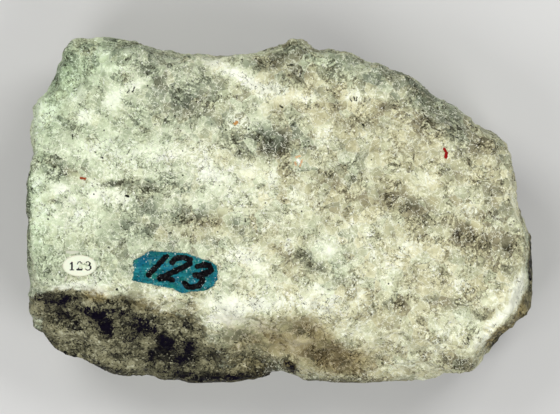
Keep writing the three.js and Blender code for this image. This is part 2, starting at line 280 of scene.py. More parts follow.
# %% Break the surface of the stone
LABEL_MIDDLE = on_top(79.5, 265.7)
LABEL_SIZE = (8.0, 5.0)
FLAT_LEVEL = 0.25        # below this the underside is level
RELIEF_LEVEL = 1.6       # above this the relief is whole
HALF_HEIGHT = 20         # the label's smooth spot ends here, so that the underside keeps its relief
EDGE_MOVES = [
    # what, px, py, half length, half width, turn, move in mm to the right and to the back
    ("left shoulder foot", 30, 121, 34, 20, 90, (1.1, 0)),
    ("left shoulder", 48, 80, 12, 12, 0, (0.9, -1.2)),
    ("left edge, lower middle", 30, 233, 20, 14, 90, (-0.9, 0)),
    ("left end of the slope's crest", 28, 294, 14, 12, 90, (0.7, 0)),
    ("left tip of the slope", 46, 338, 22, 14, -40, (-0.2, -0.1)),
    ("foot of the slope, left", 104, 374, 34, 16, -10, (-0.1, -0.3)),
    ("foot of the slope, right", 188, 382, 32, 18, 0, (0, -1.7)),
    ("foot right of the slope", 250, 378, 28, 16, 4, (0, -0.9)),
    ("foot, middle", 316, 378, 26, 14, 0, (0, -0.5)),
    ("foot, right of the middle", 390, 378, 30, 16, 0, (0, -0.4)),
    ("lower right corner", 472, 370, 20, 14, 0, (0.2, -0.3)),
    ("lower right wall", 520, 322, 14, 12, 50, (0.4, 0)),
    ("right edge, upper middle", 522, 204, 28, 12, 90, (-0.8, 0)),
    ("back edge, left", 168, 48, 26, 12, 0, (0, -1.1)),
    ("back edge, middle", 255, 50, 18, 12, 0, (0, -0.5)),
    ("back peak", 310, 40, 14, 12, 0, (-0.3, -0.9)),
    ("back right edge", 450, 102, 44, 20, -42, (-0.75, -0.8)),
    ("right corner", 500, 142, 20, 14, -55, (0.2, -0.4)),
]


def smooth_step(value, low, high):
    t = np.clip((value - low) / (high - low), 0, 1)
    return t * t * (3 - 2 * t)


def oval(points, px, py, length, width, turn):
    """1 in the middle of a soft oval mark that falls to 0 round it, read in plan."""
    along = np.array([math.cos(math.radians(turn)), math.sin(math.radians(turn))])
    offset = (points[:, :2] - on_top(px, py)) / MM_PER_PIXEL
    u = offset @ along / length
    v = offset @ np.array([-along[1], along[0]]) / width
    return np.exp(-((u * u + v * v) ** 1.4))


def soft_limit(value, limit, reach=1.5):
    """The value itself up to the reach below the limit, and then less and less more, never the limit."""
    over = np.clip((value - limit + reach) / reach, 0, None)
    return np.where(over > 0, limit - reach + reach * np.tanh(over), value)


def away_from_label(points):
    """0 under the label, 1 from a third of its size beyond its rim, and 1 on the lower half of the block."""
    x = (points[:, 0] - LABEL_MIDDLE[0]) / LABEL_SIZE[0]
    y = (points[:, 1] - LABEL_MIDDLE[1]) / LABEL_SIZE[1]
    return np.where(points[:, 2] > HALF_HEIGHT, smooth_step(np.hypot(x, y), 0.5, 0.85), 1)


points, normals = read_points(stone)
for _, px, py, length, width, turn, move in EDGE_MOVES:
    points[:, :2] += oval(points, px, py, length, width, turn)[:, None] * move
relief = bowls(points, size=6.2, lean=0.08, hollow=0.035, seed=1)
relief += bowls(points, size=3.1, lean=0.08, hollow=0.06, seed=2)
relief += crystal_faces(points, size=2.1, tilt=0.12, step=0.12, seed=3)
relief += crystal_faces(points, size=1.15, tilt=0.14, step=0.06, seed=4)
relief *= away_from_label(points) * smooth_step(points[:, 2], FLAT_LEVEL, RELIEF_LEVEL)
points += normals * relief[:, None]

cad_high = np.array(CAD_BOX[1]) / MM
points[:, :2] = np.sign(points[:, :2]) * soft_limit(np.abs(points[:, :2]), cad_high[:2])
points[:, 2] = np.clip(points[:, 2], 0, None) * min(1, cad_high[2] / points[:, 2].max())
write_points(stone, points)
print("relief from", relief.min().round(2), "to", relief.max().round(2), "mm")

# %% [markdown]
# The net is now thinned where it isn't needed. The labelled face is looked at most, so it keeps most of its
# points, and the flatter parts of the underside and the walls lose most of theirs. The vertex group says how
# readily the Decimate modifier takes points away.

# %% Thin the net, least on the labelled face
MOST_TRIANGLES = 190000
THIN_BELOW, KEEP_ABOVE = 14, 30
KEPT_SHARE = 0.85

weights = (1 - smooth_step(points[:, 2], THIN_BELOW, KEEP_ABOVE) * KEPT_SHARE).round(1)
thin_here = stone.vertex_groups.new(name="thin_here")
for weight in np.unique(weights):
    thin_here.add(np.flatnonzero(weights == weight).tolist(), float(weight), "REPLACE")
triangles = sum(len(face.vertices) - 2 for face in stone.data.polygons)
apply_modifier(stone, "DECIMATE", ratio=MOST_TRIANGLES / triangles, vertex_group=thin_here.name,
               use_collapse_triangulate=True)
stone.vertex_groups.clear()
bpy.ops.object.select_all(action="DESELECT")
stone.select_set(True)
bpy.context.view_layer.objects.active = stone
bpy.ops.object.shade_smooth()
points, normals = read_points(stone)
points[:, 2] = np.clip(points[:, 2], 0, cad_high[2])
write_points(stone, points)
print("triangles:", triangles, "before,", len(stone.data.polygons), "after")

# %% [markdown]
# The colours of the stone come in zones: cream and white calcite, grey bands that follow the old layering, a
# dark slope with clots of a black mineral at the lower left, a brown-stained hollow at the front and a green
# tinge at the left. The zones are painted as soft oval marks, each with a place, a size, a turn and a
# strength, and are kept on the points of the net. The material later breaks their edges up crystal by crystal.
# The tone comes first: marks that make the stone whiter or greyer, and a few that paint shade on its foot
# and its left wall. Among the tone marks, the bright ridge is a painted highlight, the hollow and slope
# shade marks are painted shade, and the back bevels and the left shoulder are partly grey stone and partly
# painted shade.

# %% Oval marks on the stone
TONE_MARKS = [
    # what, px, py, half length, half width, turn in degrees, strength: above 0 whiter, below 0 greyer
    ("white vein, upper end", 222, 67, 20, 7, -20, 1.1),
    ("white vein, middle", 252, 83, 18, 7, -35, 1.1),
    ("white vein, lower end", 288, 95, 28, 7, -5, 0.5),
    ("white vein, foot", 262, 106, 7, 12, 0, 0.35),
    ("bruise, top left ledge", 115, 69, 16, 4, 0, 0.7),
    ("bruise, top left", 134, 85, 13, 6, 20, 1.0),
    ("bruise, top left middle", 113, 100, 9, 12, -20, 1.0),
    ("bruise, top left lower", 84, 116, 11, 8, 20, 0.9),
    ("bruise, top left outer", 76, 94, 6, 12, -20, 0.35),
    ("pale corner, left", 52, 123, 18, 9, 5, 0.15),
    ("pale band, left", 105, 150, 40, 10, 4, 0.3),
    ("pale band, middle", 178, 150, 40, 9, 6, 0.4),
    ("pale left edge", 37, 182, 6, 22, 0, 0.4),
    ("chalky spot 1", 60, 189, 7, 5, 8, 1.5),
    ("chalky spot 2", 72, 200, 5, 5, 0, 1.1),
    ("chalky spot 3", 95, 194, 7, 4, 15, 0.9),
    ("chalky spot 4", 80, 213, 5, 5, 0, 0.5),
    ("pale field, left", 75, 222, 34, 16, 0, 0.45),
    ("pale field, left half", 105, 168, 80, 34, 0, 0.4),
    ("pale shoulder, left", 46, 108, 14, 22, -10, 0.4),
    ("pale field, bottom right", 395, 345, 40, 22, -5, 0.25),
    ("pale field, bottom middle right", 440, 350, 26, 16, -10, 0.3),
    ("pale field, low centre", 360, 300, 34, 20, 0, 0.3),
    ("pale field, centre", 245, 205, 60, 14, 0, 0.2),
    ("pale grain, centre right", 405, 248, 18, 12, 0, 0.4),
    ("pale grain, lower right", 440, 268, 18, 10, 0, 0.3),
    ("pale field, middle half", 215, 165, 60, 24, 0, 0.25),
    ("pale field, under the paint", 250, 290, 50, 24, 0, 0.3),
    ("white field 1", 207, 172, 10, 16, 10, 0.6),
    ("white field 2", 228, 180, 14, 12, 0, 0.5),
    ("white field 3", 250, 171, 12, 11, 0, 0.45),
    ("white field 4", 272, 179, 8, 10, 0, 0.7),
    ("white field, lower", 235, 197, 55, 7, 3, 0.3),
    ("white field, right end", 300, 203, 14, 9, -30, 0.3),
    ("pale streak above the paint", 236, 250, 20, 7, -38, 0.45),
    ("white knot right of the paint", 258, 266, 12, 8, -30, 0.55),
    ("white knot, middle", 325, 249, 12, 13, 0, 0.65),
    ("white knot, low", 317, 290, 7, 8, 0, 0.9),
    ("white knot, low right", 332, 300, 8, 16, 0, 0.45),
    ("bright shoulder, left", 222, 306, 22, 9, 0, 0.95),
    ("bright shoulder, middle", 262, 305, 34, 8, 2, 0.8),
    ("bright shoulder, right", 312, 306, 18, 8, -30, 0.8),
    ("bright shoulder, foot", 214, 319, 14, 7, 10, 0.6),
    ("bright lip under the paint", 160, 292, 26, 5, -10, 0.5),
    ("bright lip under the label", 95, 283, 34, 4, 0, 0.45),
    ("fresh chip, upper right", 352, 96, 13, 6, 5, 0.6),
    ("fresh chip, tail", 378, 96, 18, 3, -10, 0.35),
    ("fresh chip, foot", 365, 110, 7, 7, -30, 0.5),
    ("white fleck, upper middle", 312, 98, 10, 6, 0, 0.3),
    ("pale grain, right", 426, 180, 14, 12, 0, 0.5),
    ("pale grain, right middle", 368, 172, 7, 13, 0, 0.3),
    ("pale grain, far right", 505, 178, 10, 14, 0, 0.2),
    ("pale right edge", 515, 200, 3, 14, 10, 0.7),
    ("pale field, lower right", 456, 329, 20, 15, 0, 0.4),
    # The bright ridge marks are a painted highlight on the ridge at the lower right.
    ("bright ridge, upper", 519, 289, 7, 20, -14, 1.6),
    ("bright ridge, lower", 500, 318, 18, 6, 44, 1.1),
    ("bright ridge, inner", 494, 296, 16, 9, 10, 0.5),
    ("pale field, right", 412, 254, 34, 20, 0, 0.25),
    ("pale field, right low", 386, 276, 14, 16, 0, 0.3),
    ("pale field, centre low", 372, 238, 24, 16, 0, 0.2),
    ("grey cloud, upper left", 188, 103, 26, 17, -5, -0.38),
    ("grey cloud, upper left rim", 158, 76, 14, 9, 0, -0.3),
    ("grey cloud, upper middle", 214, 84, 16, 9, -30, -0.35),
    ("grey cloud, lower", 208, 122, 26, 9, 0, -0.25),
    ("dark cloud, middle", 276, 141, 32, 15, -8, -0.95),
    ("dark cloud, core", 277, 147, 12, 7, 0, -0.2),
    ("dark cloud, left", 245, 118, 14, 9, 0, -0.3),
    ("grey cloud, right of centre", 340, 172, 30, 14, 10, -0.25),
    ("grey spot, peak", 300, 72, 15, 9, 0, -0.5),
    ("grey spot, vein", 279, 108, 8, 6, 0, -0.4),
    ("grey spot beside the chip", 334, 100, 7, 13, 0, -0.45),
    ("olive spot", 388, 107, 13, 5, 5, -0.6),
    ("dark fleck in the chip", 353, 98, 4, 3, 0, -0.9),
    ("layer, left 1", 142, 186, 36, 7, -4, -0.5),
    ("layer, left 2", 176, 178, 14, 8, 0, -0.3),
    ("layer, left 3", 151, 208, 9, 9, 0, -0.5),
    ("layer, left 4", 188, 216, 24, 9, -6, -0.45),
    ("layer, left 5", 138, 228, 22, 9, -5, -0.3),
    ("layer, left 6", 61, 171, 20, 8, 0, -0.35),
    ("layer, left 7", 43, 158, 10, 5, -20, -0.3),
    ("layer, left 8", 55, 201, 12, 2, 0, -0.5),
    ("layer, left 9", 92, 176, 14, 5, -15, -0.3),
    ("layer over the label", 70, 250, 36, 5, 4, -0.25),
    ("dark knot, middle", 304, 239, 6, 5, 0, -0.8),
    ("dark knot, middle low", 300, 258, 10, 9, 0, -0.55),
    ("dark knot, tail", 316, 268, 10, 5, -30, -0.45),
    ("grey spot right of the paint", 248, 292, 12, 8, 0, -0.2),
    ("grey band, right", 398, 201, 24, 9, -12, -0.4),
    ("grey band, right end", 420, 214, 18, 9, -15, -0.35),
    ("grey field, right", 372, 200, 22, 12, 0, -0.2),
    ("dark knot, right", 464, 233, 13, 10, -15, -1.1),
    ("grey spot, right of centre 2", 415, 206, 12, 10, 0, -0.4),
    ("grey spot, right of the dark knot", 448, 220, 12, 7, 20, -0.3),
    ("grey spot, left of the label's band", 146, 192, 9, 16, 0, -0.55),
    ("grey spot, left field", 118, 225, 14, 8, 0, -0.35),
    ("grey spot, over the paint", 210, 218, 22, 9, 0, -0.3),
    ("grey spot, over the paint 2", 190, 238, 14, 7, 0, -0.3),
    ("grey spot, between label and paint", 105, 260, 11, 7, 0, -0.3),
    ("grey spot, left of the label", 50, 262, 9, 10, 0, -0.2),
    ("grey spot, upper left field", 170, 102, 9, 9, 0, -0.35),
    ("grey spot, upper left field 2", 185, 112, 9, 7, 0, -0.3),
    ("grey spot, by the vein's foot", 292, 115, 10, 9, 0, -0.35),
    ("grey spot, right of centre high", 322, 119, 10, 7, 0, -0.45),
    ("grey spot, right of the dark cloud", 308, 150, 7, 11, 0, -0.35),
    ("grey spot, peak foot", 276, 60, 9, 9, 0, -0.5),
    ("dark knot, right tail", 485, 242, 18, 8, 0, -0.3),
    ("grey right end", 512, 258, 12, 20, 10, -0.3),
    ("grey field, right end", 500, 214, 16, 14, 0, -0.2),
    ("grey spot, low right", 421, 345, 11, 7, -20, -0.55),
    ("grey streak, low right 1", 396, 301, 18, 7, 10, -0.3),
    ("grey streak, low right 2", 450, 303, 20, 7, -10, -0.35),
    ("grey spot, bottom right", 468, 340, 9, 7, 0, -0.35),
    ("grey streak, upper right", 462, 140, 26, 8, -42, -0.35),
    # The back bevel marks and the left shoulder mark are partly grey stone and partly painted shade, where
    # these faces lean away from the light.
    ("back bevel, right", 440, 108, 50, 13, -42, -0.45),
    ("back bevel, right middle", 375, 73, 50, 9, -22, -0.4),
    ("back bevel, peak", 300, 52, 28, 9, 0, -0.45),
    ("back bevel, middle", 262, 66, 14, 7, 25, -0.45),
    ("back bevel, left", 165, 55, 40, 6, -8, -0.4),
    ("back bevel, far left", 105, 46, 40, 9, 0, -0.35),
    ("left shoulder", 56, 74, 12, 22, -32, -0.45),
    ("pale shoulder foot, left", 42, 112, 12, 26, -20, 0.35),
    ("pale left edge, middle", 38, 220, 9, 22, 0, 0.45),
    ("pale field, left middle", 112, 190, 18, 14, 0, 0.55),
    ("pale field, left inner", 88, 180, 12, 7, 0, 0.3),
    ("pale band over the label", 92, 249, 34, 5, 0, 0.55),
    ("pale spot at the orange speck", 239, 122, 13, 11, 0, 1.0),
    ("pale spot, upper right of centre", 324, 135, 11, 14, 0, 0.7),
    ("pale spot, right of centre", 350, 230, 8, 14, 0, 0.5),
    ("pale spot, right", 470, 210, 11, 8, 20, 0.6),
    ("pale spot, low right of centre", 358, 285, 9, 14, 0, 0.45),
    ("pale spot, low right", 462, 287, 9, 8, 0, 0.4),
    ("pale spot, upper middle", 262, 70, 11, 7, 0, 0.5),
    ("pale spot, vein", 275, 86, 12, 6, -20, 0.4),
    ("pale bevel, upper left", 190, 61, 20, 5, 0, 0.45),
    ("pale bevel, upper right", 372, 74, 20, 5, -15, 0.35),
    ("pale fleck by the chip", 357, 97, 6, 8, 0, 0.5),
    ("white lip, left end", 72, 288, 20, 6, 0, 0.7),
    ("grey spot, top left bevel", 142, 68, 14, 8, 0, -0.45),
    ("grey spot, under the bevel", 152, 82, 12, 7, 0, -0.3),
    ("grey spot, left of the cloud", 158, 118, 9, 10, 0, -0.35),
    ("grey spot, lower cloud", 226, 140, 14, 7, 0, -0.35),
    ("grey spot, centre", 264, 154, 9, 7, 0, -0.4),
    ("grey spot, right bevel foot", 335, 72, 10, 18, 0, -0.4),
    ("grey spot, upper right field", 376, 120, 12, 8, 0, -0.4),
    ("grey streak, upper right field", 424, 122, 10, 20, 0, -0.55),
    ("grey spot, right field", 450, 176, 9, 9, 0, -0.45),
    ("grey spot, right field 2", 405, 181, 8, 7, 0, -0.35),
    ("grey spot, centre right", 362, 188, 10, 6, 0, -0.35),
    ("grey spot, far right", 478, 148, 14, 8, 0, -0.35),
    ("grey spot, right low", 500, 254, 16, 9, 20, -0.5),
    ("grey spot, lower right ridge", 482, 297, 8, 7, 0, -0.4),
    ("grey streak by the white knot", 315, 262, 12, 8, -40, -0.5),
    ("grey spot, low centre", 304, 326, 12, 10, 0, -0.5),
    ("hollow shade, left", 240, 338, 20, 12, 0, -0.3),
    ("hollow shade, middle", 318, 350, 20, 12, 30, -0.55),
    ("hollow shade, right", 340, 362, 16, 8, 35, -0.5),
    ("hollow shade, foot", 262, 362, 16, 8, -20, -0.4),
    ("hollow, pale streak", 298, 352, 8, 14, 30, 0.3),
    ("slope island, ochre", 98, 296, 14, 10, 0, 0.9),
    ("slope island, beige", 158, 309, 20, 9, -12, 0.55),
    ("slope island, beige foot", 182, 322, 18, 8, -12, -0.1),
    ("slope island, left tip", 46, 324, 13, 11, -30, 0.35),
    ("slope island, left foot", 62, 338, 12, 6, -30, 0.6),
    ("slope island, left", 78, 332, 8, 6, 0, 0.4),
    ("slope island, middle", 101, 352, 11, 10, 0, 1.0),
    ("slope island, rim", 120, 366, 16, 5, -10, 0.7),
    ("slope island, grey", 126, 348, 8, 6, 0, 0.3),
    ("slope island, far right", 222, 366, 20, 8, 0, 0.2),
    ("slope shade, crest", 46, 296, 16, 9, 0, -0.5),
    ("slope shade, middle", 118, 303, 14, 7, 0, -0.2),
    ("slope shade, right foot", 168, 362, 26, 12, 0, -0.4),
    ("slope shade, far right", 206, 346, 16, 9, 0, 0.2),
    ("right corner", 492, 146, 26, 10, -55, -0.3),
    ("lip under the label, left", 62, 290, 14, 5, 0, 0.9),
    ("lip right of the label", 103, 275, 12, 6, 0, 0.6),
    ("bright field right of the paint", 246, 255, 26, 8, 8, 0.75),
    ("pale spot left of the dark knot", 290, 247, 7, 8, 0, 0.9),
    ("bright shoulder, lower left", 230, 321, 20, 8, 12, 0.8),
    ("bright shoulder, lower middle", 262, 328, 16, 7, 0, 0.8),
    ("hollow, pale band", 306, 344, 26, 7, 4, 0.6),
    # Painted highlight: the foot of the bright ridge.
    ("bright ridge, foot", 482, 341, 8, 12, -50, 0.9),
    ("pale foot, lower right", 405, 369, 26, 6, 0, 0.3),
    ("pale field, bottom", 350, 330, 22, 10, 0, 0.4),
    ("pale spot, right middle", 375, 255, 10, 10, 0, 0.4),
    ("pale spot, lower right", 460, 286, 9, 9, 0, 0.45),
    ("dark lens, left", 112, 184, 11, 4, 6, -1.3),
    ("pale grain, left of the layers", 124, 201, 8, 9, 0, 0.45),
    ("grey grain, centre", 235, 224, 9, 8, 0, -0.55),
    ("pale grain, centre", 270, 228, 8, 8, 0, 0.55),
    ("grey grain, right", 395, 241, 7, 9, 0, -0.5),
    ("grey grain, low right", 340, 284, 7, 9, 0, -0.4),
    ("grey grain, low right 2", 381, 291, 9, 7, 0, -0.4),
    ("grey grain, far right", 492, 190, 12, 8, 0, -0.35),
    ("grey grain, bottom right", 452, 350, 10, 7, 0, -0.35),
    ("pale grain in the dark cloud", 295, 143, 6, 7, 0, 0.75),
    ("pale grain, upper right", 365, 140, 7, 10, 0, 0.45),
    ("pale grain, upper right 2", 450, 147, 8, 8, 0, 0.45),
    ("pale grain, right of centre", 300, 191, 12, 9, 0, 0.4),
    ("pale grain, left edge", 50, 210, 11, 7, 0, 0.5),
    ("pale grain, vein", 276, 88, 12, 6, -10, 0.4),
    ("bruise on the corner", 103, 52, 9, 6, 0, 0.9),
    ("bruise on the corner, right", 128, 52, 10, 5, 15, 0.8),
    ("grey field, left edge", 58, 165, 24, 16, 0, -0.3),
    ("pale field, right of the dark cloud", 315, 166, 22, 18, 0, 0.25),
    ("pale field, centre right", 362, 216, 24, 14, 0, 0.2),
    # The grey bevel marks are partly grey stone and partly painted shade on the back bevel.
    ("grey bevel, middle", 218, 66, 30, 9, 0, -0.2),
    ("grey bevel, middle right", 262, 66, 24, 9, 0, -0.2),
    ("grey grain, left of centre", 232, 145, 8, 16, 10, -0.4),
    ("grey grain, right of the vein", 245, 155, 10, 8, 0, -0.3),
]
# Painted shade: these marks darken the foot of the walls all round and the left wall.
FOOT_SHADE_MARKS = [
    ("foot, bottom right", 458, 362, 16, 7, -20, -0.9),
    ("foot, right", 500, 344, 16, 6, 45, -0.6),
    ("foot, bottom middle", 335, 384, 60, 5, 0, -0.8),
    ("foot, under the hollow", 270, 372, 16, 9, 0, -0.9),
    ("foot, bottom left", 190, 384, 80, 7, 4, -1.2),
    ("foot, left tip", 44, 342, 22, 9, -45, -1.2),
    ("foot, left", 104, 374, 50, 7, -14, -1.2),
    ("left wall", 27, 200, 4, 100, 0, -0.7),
]
print(len(TONE_MARKS) + len(FOOT_SHADE_MARKS), "marks whiter or greyer")

# %% [markdown]
# The dark slope and its clots, the brown stains, the green tinge and the warmth are kept apart from the tone,
# because each has its own colour. The warmth says where the calcite leans to brown and yellow, and where it
# stays cool. A mark is read in plan, so it would run down through the whole block. It is therefore kept to
# what can be seen from above, and the slope and the painted shade of the foot to the walls as well.

# %% The slope, its clots, the hollow and the tinges
SLOPE_MARKS = [
    ("slope, left crest", 57, 301, 30, 10, 6, 1.0),
    ("slope, left", 74, 326, 46, 30, -20, 0.95),
    ("slope, middle", 118, 332, 46, 34, -15, 1.0),
    ("slope, upper middle", 126, 308, 24, 10, -8, 0.45),
    ("slope, upper right", 182, 324, 26, 12, -14, 0.5),
    ("slope, right", 176, 350, 34, 30, -10, 0.95),
    ("slope, far right", 214, 362, 34, 18, 0, 0.6),
    ("slope, right end", 252, 368, 20, 14, 0, 0.6),
    ("slope, foot left", 70, 362, 50, 14, -25, 1.0),
    ("slope, foot middle", 150, 380, 70, 12, -4, 1.0),
    ("slope, foot right", 236, 382, 36, 8, 4, 0.8),
    # The dark wall marks lay the slope's dark rock on the right wall, which there also paints the wall's shade.
    ("dark wall, right", 536, 262, 7, 34, 0, 1.0),
    ("dark wall, lower right", 529, 308, 10, 22, -25, 1.0),
    ("dark wall, corner", 500, 338, 20, 8, 45, 0.9),
    ("dark wedge, front", 290, 367, 12, 6, -35, 0.8),
]
CLOT_MARKS = [
    ("line at the crest", 46, 303, 18, 4, -8, 0.42),
    ("line, middle", 66, 302, 10, 5, 20, 0.45),
    ("line, inner end", 80, 309, 12, 5, -30, 0.55),
    ("crest, left", 50, 297, 20, 6, 0, 0.3),
    ("clot under the label", 63, 316, 8, 6, -20, 0.65),
    ("clot, left", 100, 318, 13, 9, -35, 1.0),
    ("clot, left foot", 106, 330, 7, 8, -20, 0.9),
    ("clot, bridge", 122, 314, 16, 5, -10, 0.55),
    ("clot, middle", 141, 327, 11, 10, -30, 0.85),
    ("clot, middle foot", 130, 338, 8, 7, 0, 0.5),
    ("clot, right", 167, 345, 12, 7, -5, 0.95),
    ("clot, right upper", 156, 332, 10, 6, -35, 0.5),
    ("clot, far right", 190, 348, 7, 6, 0, 0.9),
    ("clot, foot left", 150, 359, 5, 8, 0, 0.7),
    ("clot, foot right", 181, 361, 8, 9, -20, 0.7),
    ("clot, rim left", 178, 376, 26, 4, -6, 0.5),
    ("clot, rim right", 236, 378, 26, 4, 6, 0.5),
    ("clot, far end", 216, 356, 12, 9, 0, 0.3),
    ("wedge, front", 290, 368, 12, 5, -35, 0.6),
    ("wall, right", 533, 270, 5, 16, 0, 0.25),
]
STAIN_MARKS = [
    ("brown hollow, left", 242, 342, 34, 24, 0, 0.9),
    ("brown hollow", 300, 342, 40, 26, -15, 1.2),
    ("brown hollow, foot", 346, 364, 34, 13, 0, 1.1),
    ("brown hollow, right", 372, 352, 24, 18, 20, 0.4),
    ("brown streak", 334, 352, 10, 30, 35, 0.5),
    ("ochre under the label", 96, 295, 13, 9, 0, 0.5),
    ("pinkish slope", 172, 308, 30, 10, -10, 0.4),
    ("rusty, slope right", 190, 336, 8, 5, 0, 0.35),
    ("warm band, middle", 185, 228, 30, 10, 0, 0.25),
    ("warm spot, right", 385, 205, 14, 9, 0, 0.25),
    ("warm field, lower right", 440, 262, 60, 30, 0, 0.15),
    ("ochre edge, upper right", 425, 94, 14, 5, -35, 0.6),
    ("warm edge, right", 495, 165, 16, 12, 0, 0.2),
]
GREEN_MARKS = [
    ("green top left corner", 82, 60, 55, 26, 15, 1.0),
    ("green left shoulder", 50, 100, 20, 40, -15, 0.9),
    ("green left field", 90, 130, 70, 60, 0, 0.4),
    ("green left edge", 30, 215, 22, 72, 0, 0.8),
    ("green round the label", 80, 245, 60, 40, 0, 0.35),
    ("green upper middle", 222, 95, 12, 10, 0, 0.4),
    ("green back bevel", 320, 60, 70, 18, -5, 0.3),
]
WARMTH_MARKS = [
    # above 0 browner and yellower, below 0 cooler
    ("cool back bevel", 375, 75, 90, 22, -22, -0.6),
    ("cool back bevel, right", 450, 118, 44, 18, -42, -0.5),
    ("cool dark cloud", 275, 138, 40, 22, 0, -0.35),
    ("cool white knot", 326, 262, 26, 34, 0, -0.6),
    ("cool pale grains, low right", 456, 322, 26, 16, 0, -0.45),
    ("cool grey grains, right", 392, 282, 24, 20, 0, -0.25),
    ("cool grey grains, centre right", 352, 168, 26, 14, 0, -0.25),
    ("cool foot of the wall", 532, 270, 8, 50, 0, -0.6),
    ("cool field, right of the dark cloud", 315, 166, 26, 20, 0, -0.35),
    ("warm patch over the paint", 182, 232, 34, 10, -4, 0.6),
    ("warm patch over the paint 2", 210, 222, 20, 10, 0, 0.4),
    ("warm seam, left", 180, 158, 60, 7, 0, 0.25),
    ("warm layer, left", 78, 172, 30, 8, -15, 0.45),
    ("warm dark knot", 464, 234, 20, 12, 0, 0.4),
    ("warm spot, centre right", 385, 206, 18, 10, 0, 0.35),
    ("warm upper right", 400, 130, 40, 20, 0, 0.2),
    ("warm slope shoulder", 165, 305, 50, 12, -8, 0.7),
    ("warm ochre crest", 97, 295, 16, 8, 0, 0.9),
]


def marks_at(points, marks):
    """The summed strength of soft oval marks at each point, read in plan."""
    total = np.zeros(len(points))
    for _, px, py, length, width, turn, strength in marks:
        total += strength * oval(points, px, py, length, width, turn)
    return total


def store(piece, name, values):
    """Keeps one number for each point of a piece, for its material to read."""
    attribute = piece.data.attributes.new(name, "FLOAT", "POINT")
    attribute.data.foreach_set("value", values.astype(np.float32))
    print(name, "from", values.min().round(2), "to", values.max().round(2))


seen_from_above = smooth_step(normals[:, 2], -0.15, 0.2) * smooth_step(points[:, 2], 2, 14)
unseen = 1 - seen_from_above
down_the_walls = smooth_step(normals[:, 2], -0.6, -0.2) * smooth_step(points[:, 2], 1, 8)
# The foot marks paint shade on the walls near the foot and on the left wall.
foot = marks_at(points, FOOT_SHADE_MARKS) * down_the_walls
store(stone, "tone", marks_at(points, TONE_MARKS) * seen_from_above + foot)
store(stone, "slope", np.clip(marks_at(points, SLOPE_MARKS), 0, 1) * down_the_walls)
store(stone, "unseen", unseen)
for name, marks in (("clots", CLOT_MARKS), ("stain", STAIN_MARKS), ("green", GREEN_MARKS)):
    store(stone, name, marks_at(points, marks) * seen_from_above)
warmer_to_the_right = smooth_step(points[:, 0], -34, 16) * 0.85
warmth = warmer_to_the_right + marks_at(points, WARMTH_MARKS)
store(stone, "warmth", warmth * seen_from_above + 0.4 * unseen)

# %% [markdown]
# The painted patch is a brushed shape with nearly straight ends. It is kept as the distance to its edge,
# because a distance stays sharp between the points of the net, where a mask of ones and zeros would blur.

# %% Distance to the edge of the painted patch
PATCH_CORNERS = [
    (132.7, 260.8), (141, 256.6), (148.8, 251.4), (167.5, 252.3), (187.1, 252.8), (197, 257.2),
    (206.8, 260.4), (216.6, 264.4), (217.9, 272.9), (217, 280.9), (212.1, 287.1), (203.2, 291.2),
    (190.7, 291.6), (183.6, 293.8), (172.9, 288.9), (156.8, 285.8), (141.6, 282.7), (132.2, 280),
    (133.6, 270.2),
]
PATCH_LEVEL = 25         # the patch is on the top face, so nothing below this level is painted
FAR_FROM_PATCH = 5


def distance_outside(points, corners):
    """How far points of the plan lie outside a many-cornered shape, in mm; inside is negative."""
    nearest = np.full(len(points), np.inf)
    inside = np.zeros(len(points), bool)
    for (ax, ay), (bx, by) in zip(corners, corners[1:] + corners[:1]):
        edge = np.array([bx - ax, by - ay])
        offset = points[:, :2] - (ax, ay)
        share = np.clip(offset @ edge / (edge @ edge), 0, 1)
        nearest = np.minimum(nearest, np.hypot(*(offset - share[:, None] * edge).T))
        crosses = (points[:, 1] < ay) != (points[:, 1] < by)
        inside ^= crosses & (points[:, 0] < ax + (points[:, 1] - ay) / ((by - ay) or 1) * (bx - ax))
    return np.where(inside, -nearest, nearest)


patch = distance_outside(points, [on_top(*corner) for corner in PATCH_CORNERS])
patch = np.clip(patch, -FAR_FROM_PATCH, FAR_FROM_PATCH)
store(stone, "patch_edge", np.where(points[:, 2] > PATCH_LEVEL, patch, FAR_FROM_PATCH))

# %% [markdown]
# Material nodes are many, so a few short helpers lay them. A node's input takes a number, a colour or the
# output of another node, and each helper gives back the output that the next step needs.

# %% Helpers that lay nodes
def srgb(red, green, blue):
    """A colour as a paint chart gives it, 0 to 255, as the linear values that the shader takes."""
    shares = (red / 255, green / 255, blue / 255)
    return (*(v / 12.92 if v <= 0.04045 else ((v + 0.055) / 1.055) ** 2.4 for v in shares), 1)


def feed(tree, socket, value):
    if isinstance(value, bpy.types.NodeSocket):
        tree.links.new(value, socket)
    else:
        socket.default_value = value


def node(tree, kind, inputs=(), **settings):
    """A new node. Inputs are pairs of a socket's name or number and what it takes."""
    new = tree.nodes.new("ShaderNode" + kind)
    for key, value in settings.items():
        setattr(new, key, value)
    for key, value in inputs:
        feed(tree, new.inputs[key], value)
    return new


def calculate(tree, operation, a, b=0.0, c=0.0, clamp=False):
    return node(tree, "Math", [(0, a), (1, b), (2, c)], operation=operation, use_clamp=clamp).outputs[0]


def less_half(tree, value):
    """Noise or a random number from 0 to 1, less a half, so that it adds nothing on average."""
    return calculate(tree, "SUBTRACT", value, 0.5)


def add_parts(tree, total, *parts):
    """The total plus each part times its strength. The parts are (part, strength) pairs."""
    for part, strength in parts:
        total = calculate(tree, "MULTIPLY_ADD", part, strength, total)
    return total


def vector(tree, operation, a, b=(0, 0, 0)):
    made = node(tree, "VectorMath", [(0, a), (1, b)], operation=operation)
    return made.outputs["Value" if operation in ("DOT_PRODUCT", "LENGTH", "DISTANCE") else "Vector"]


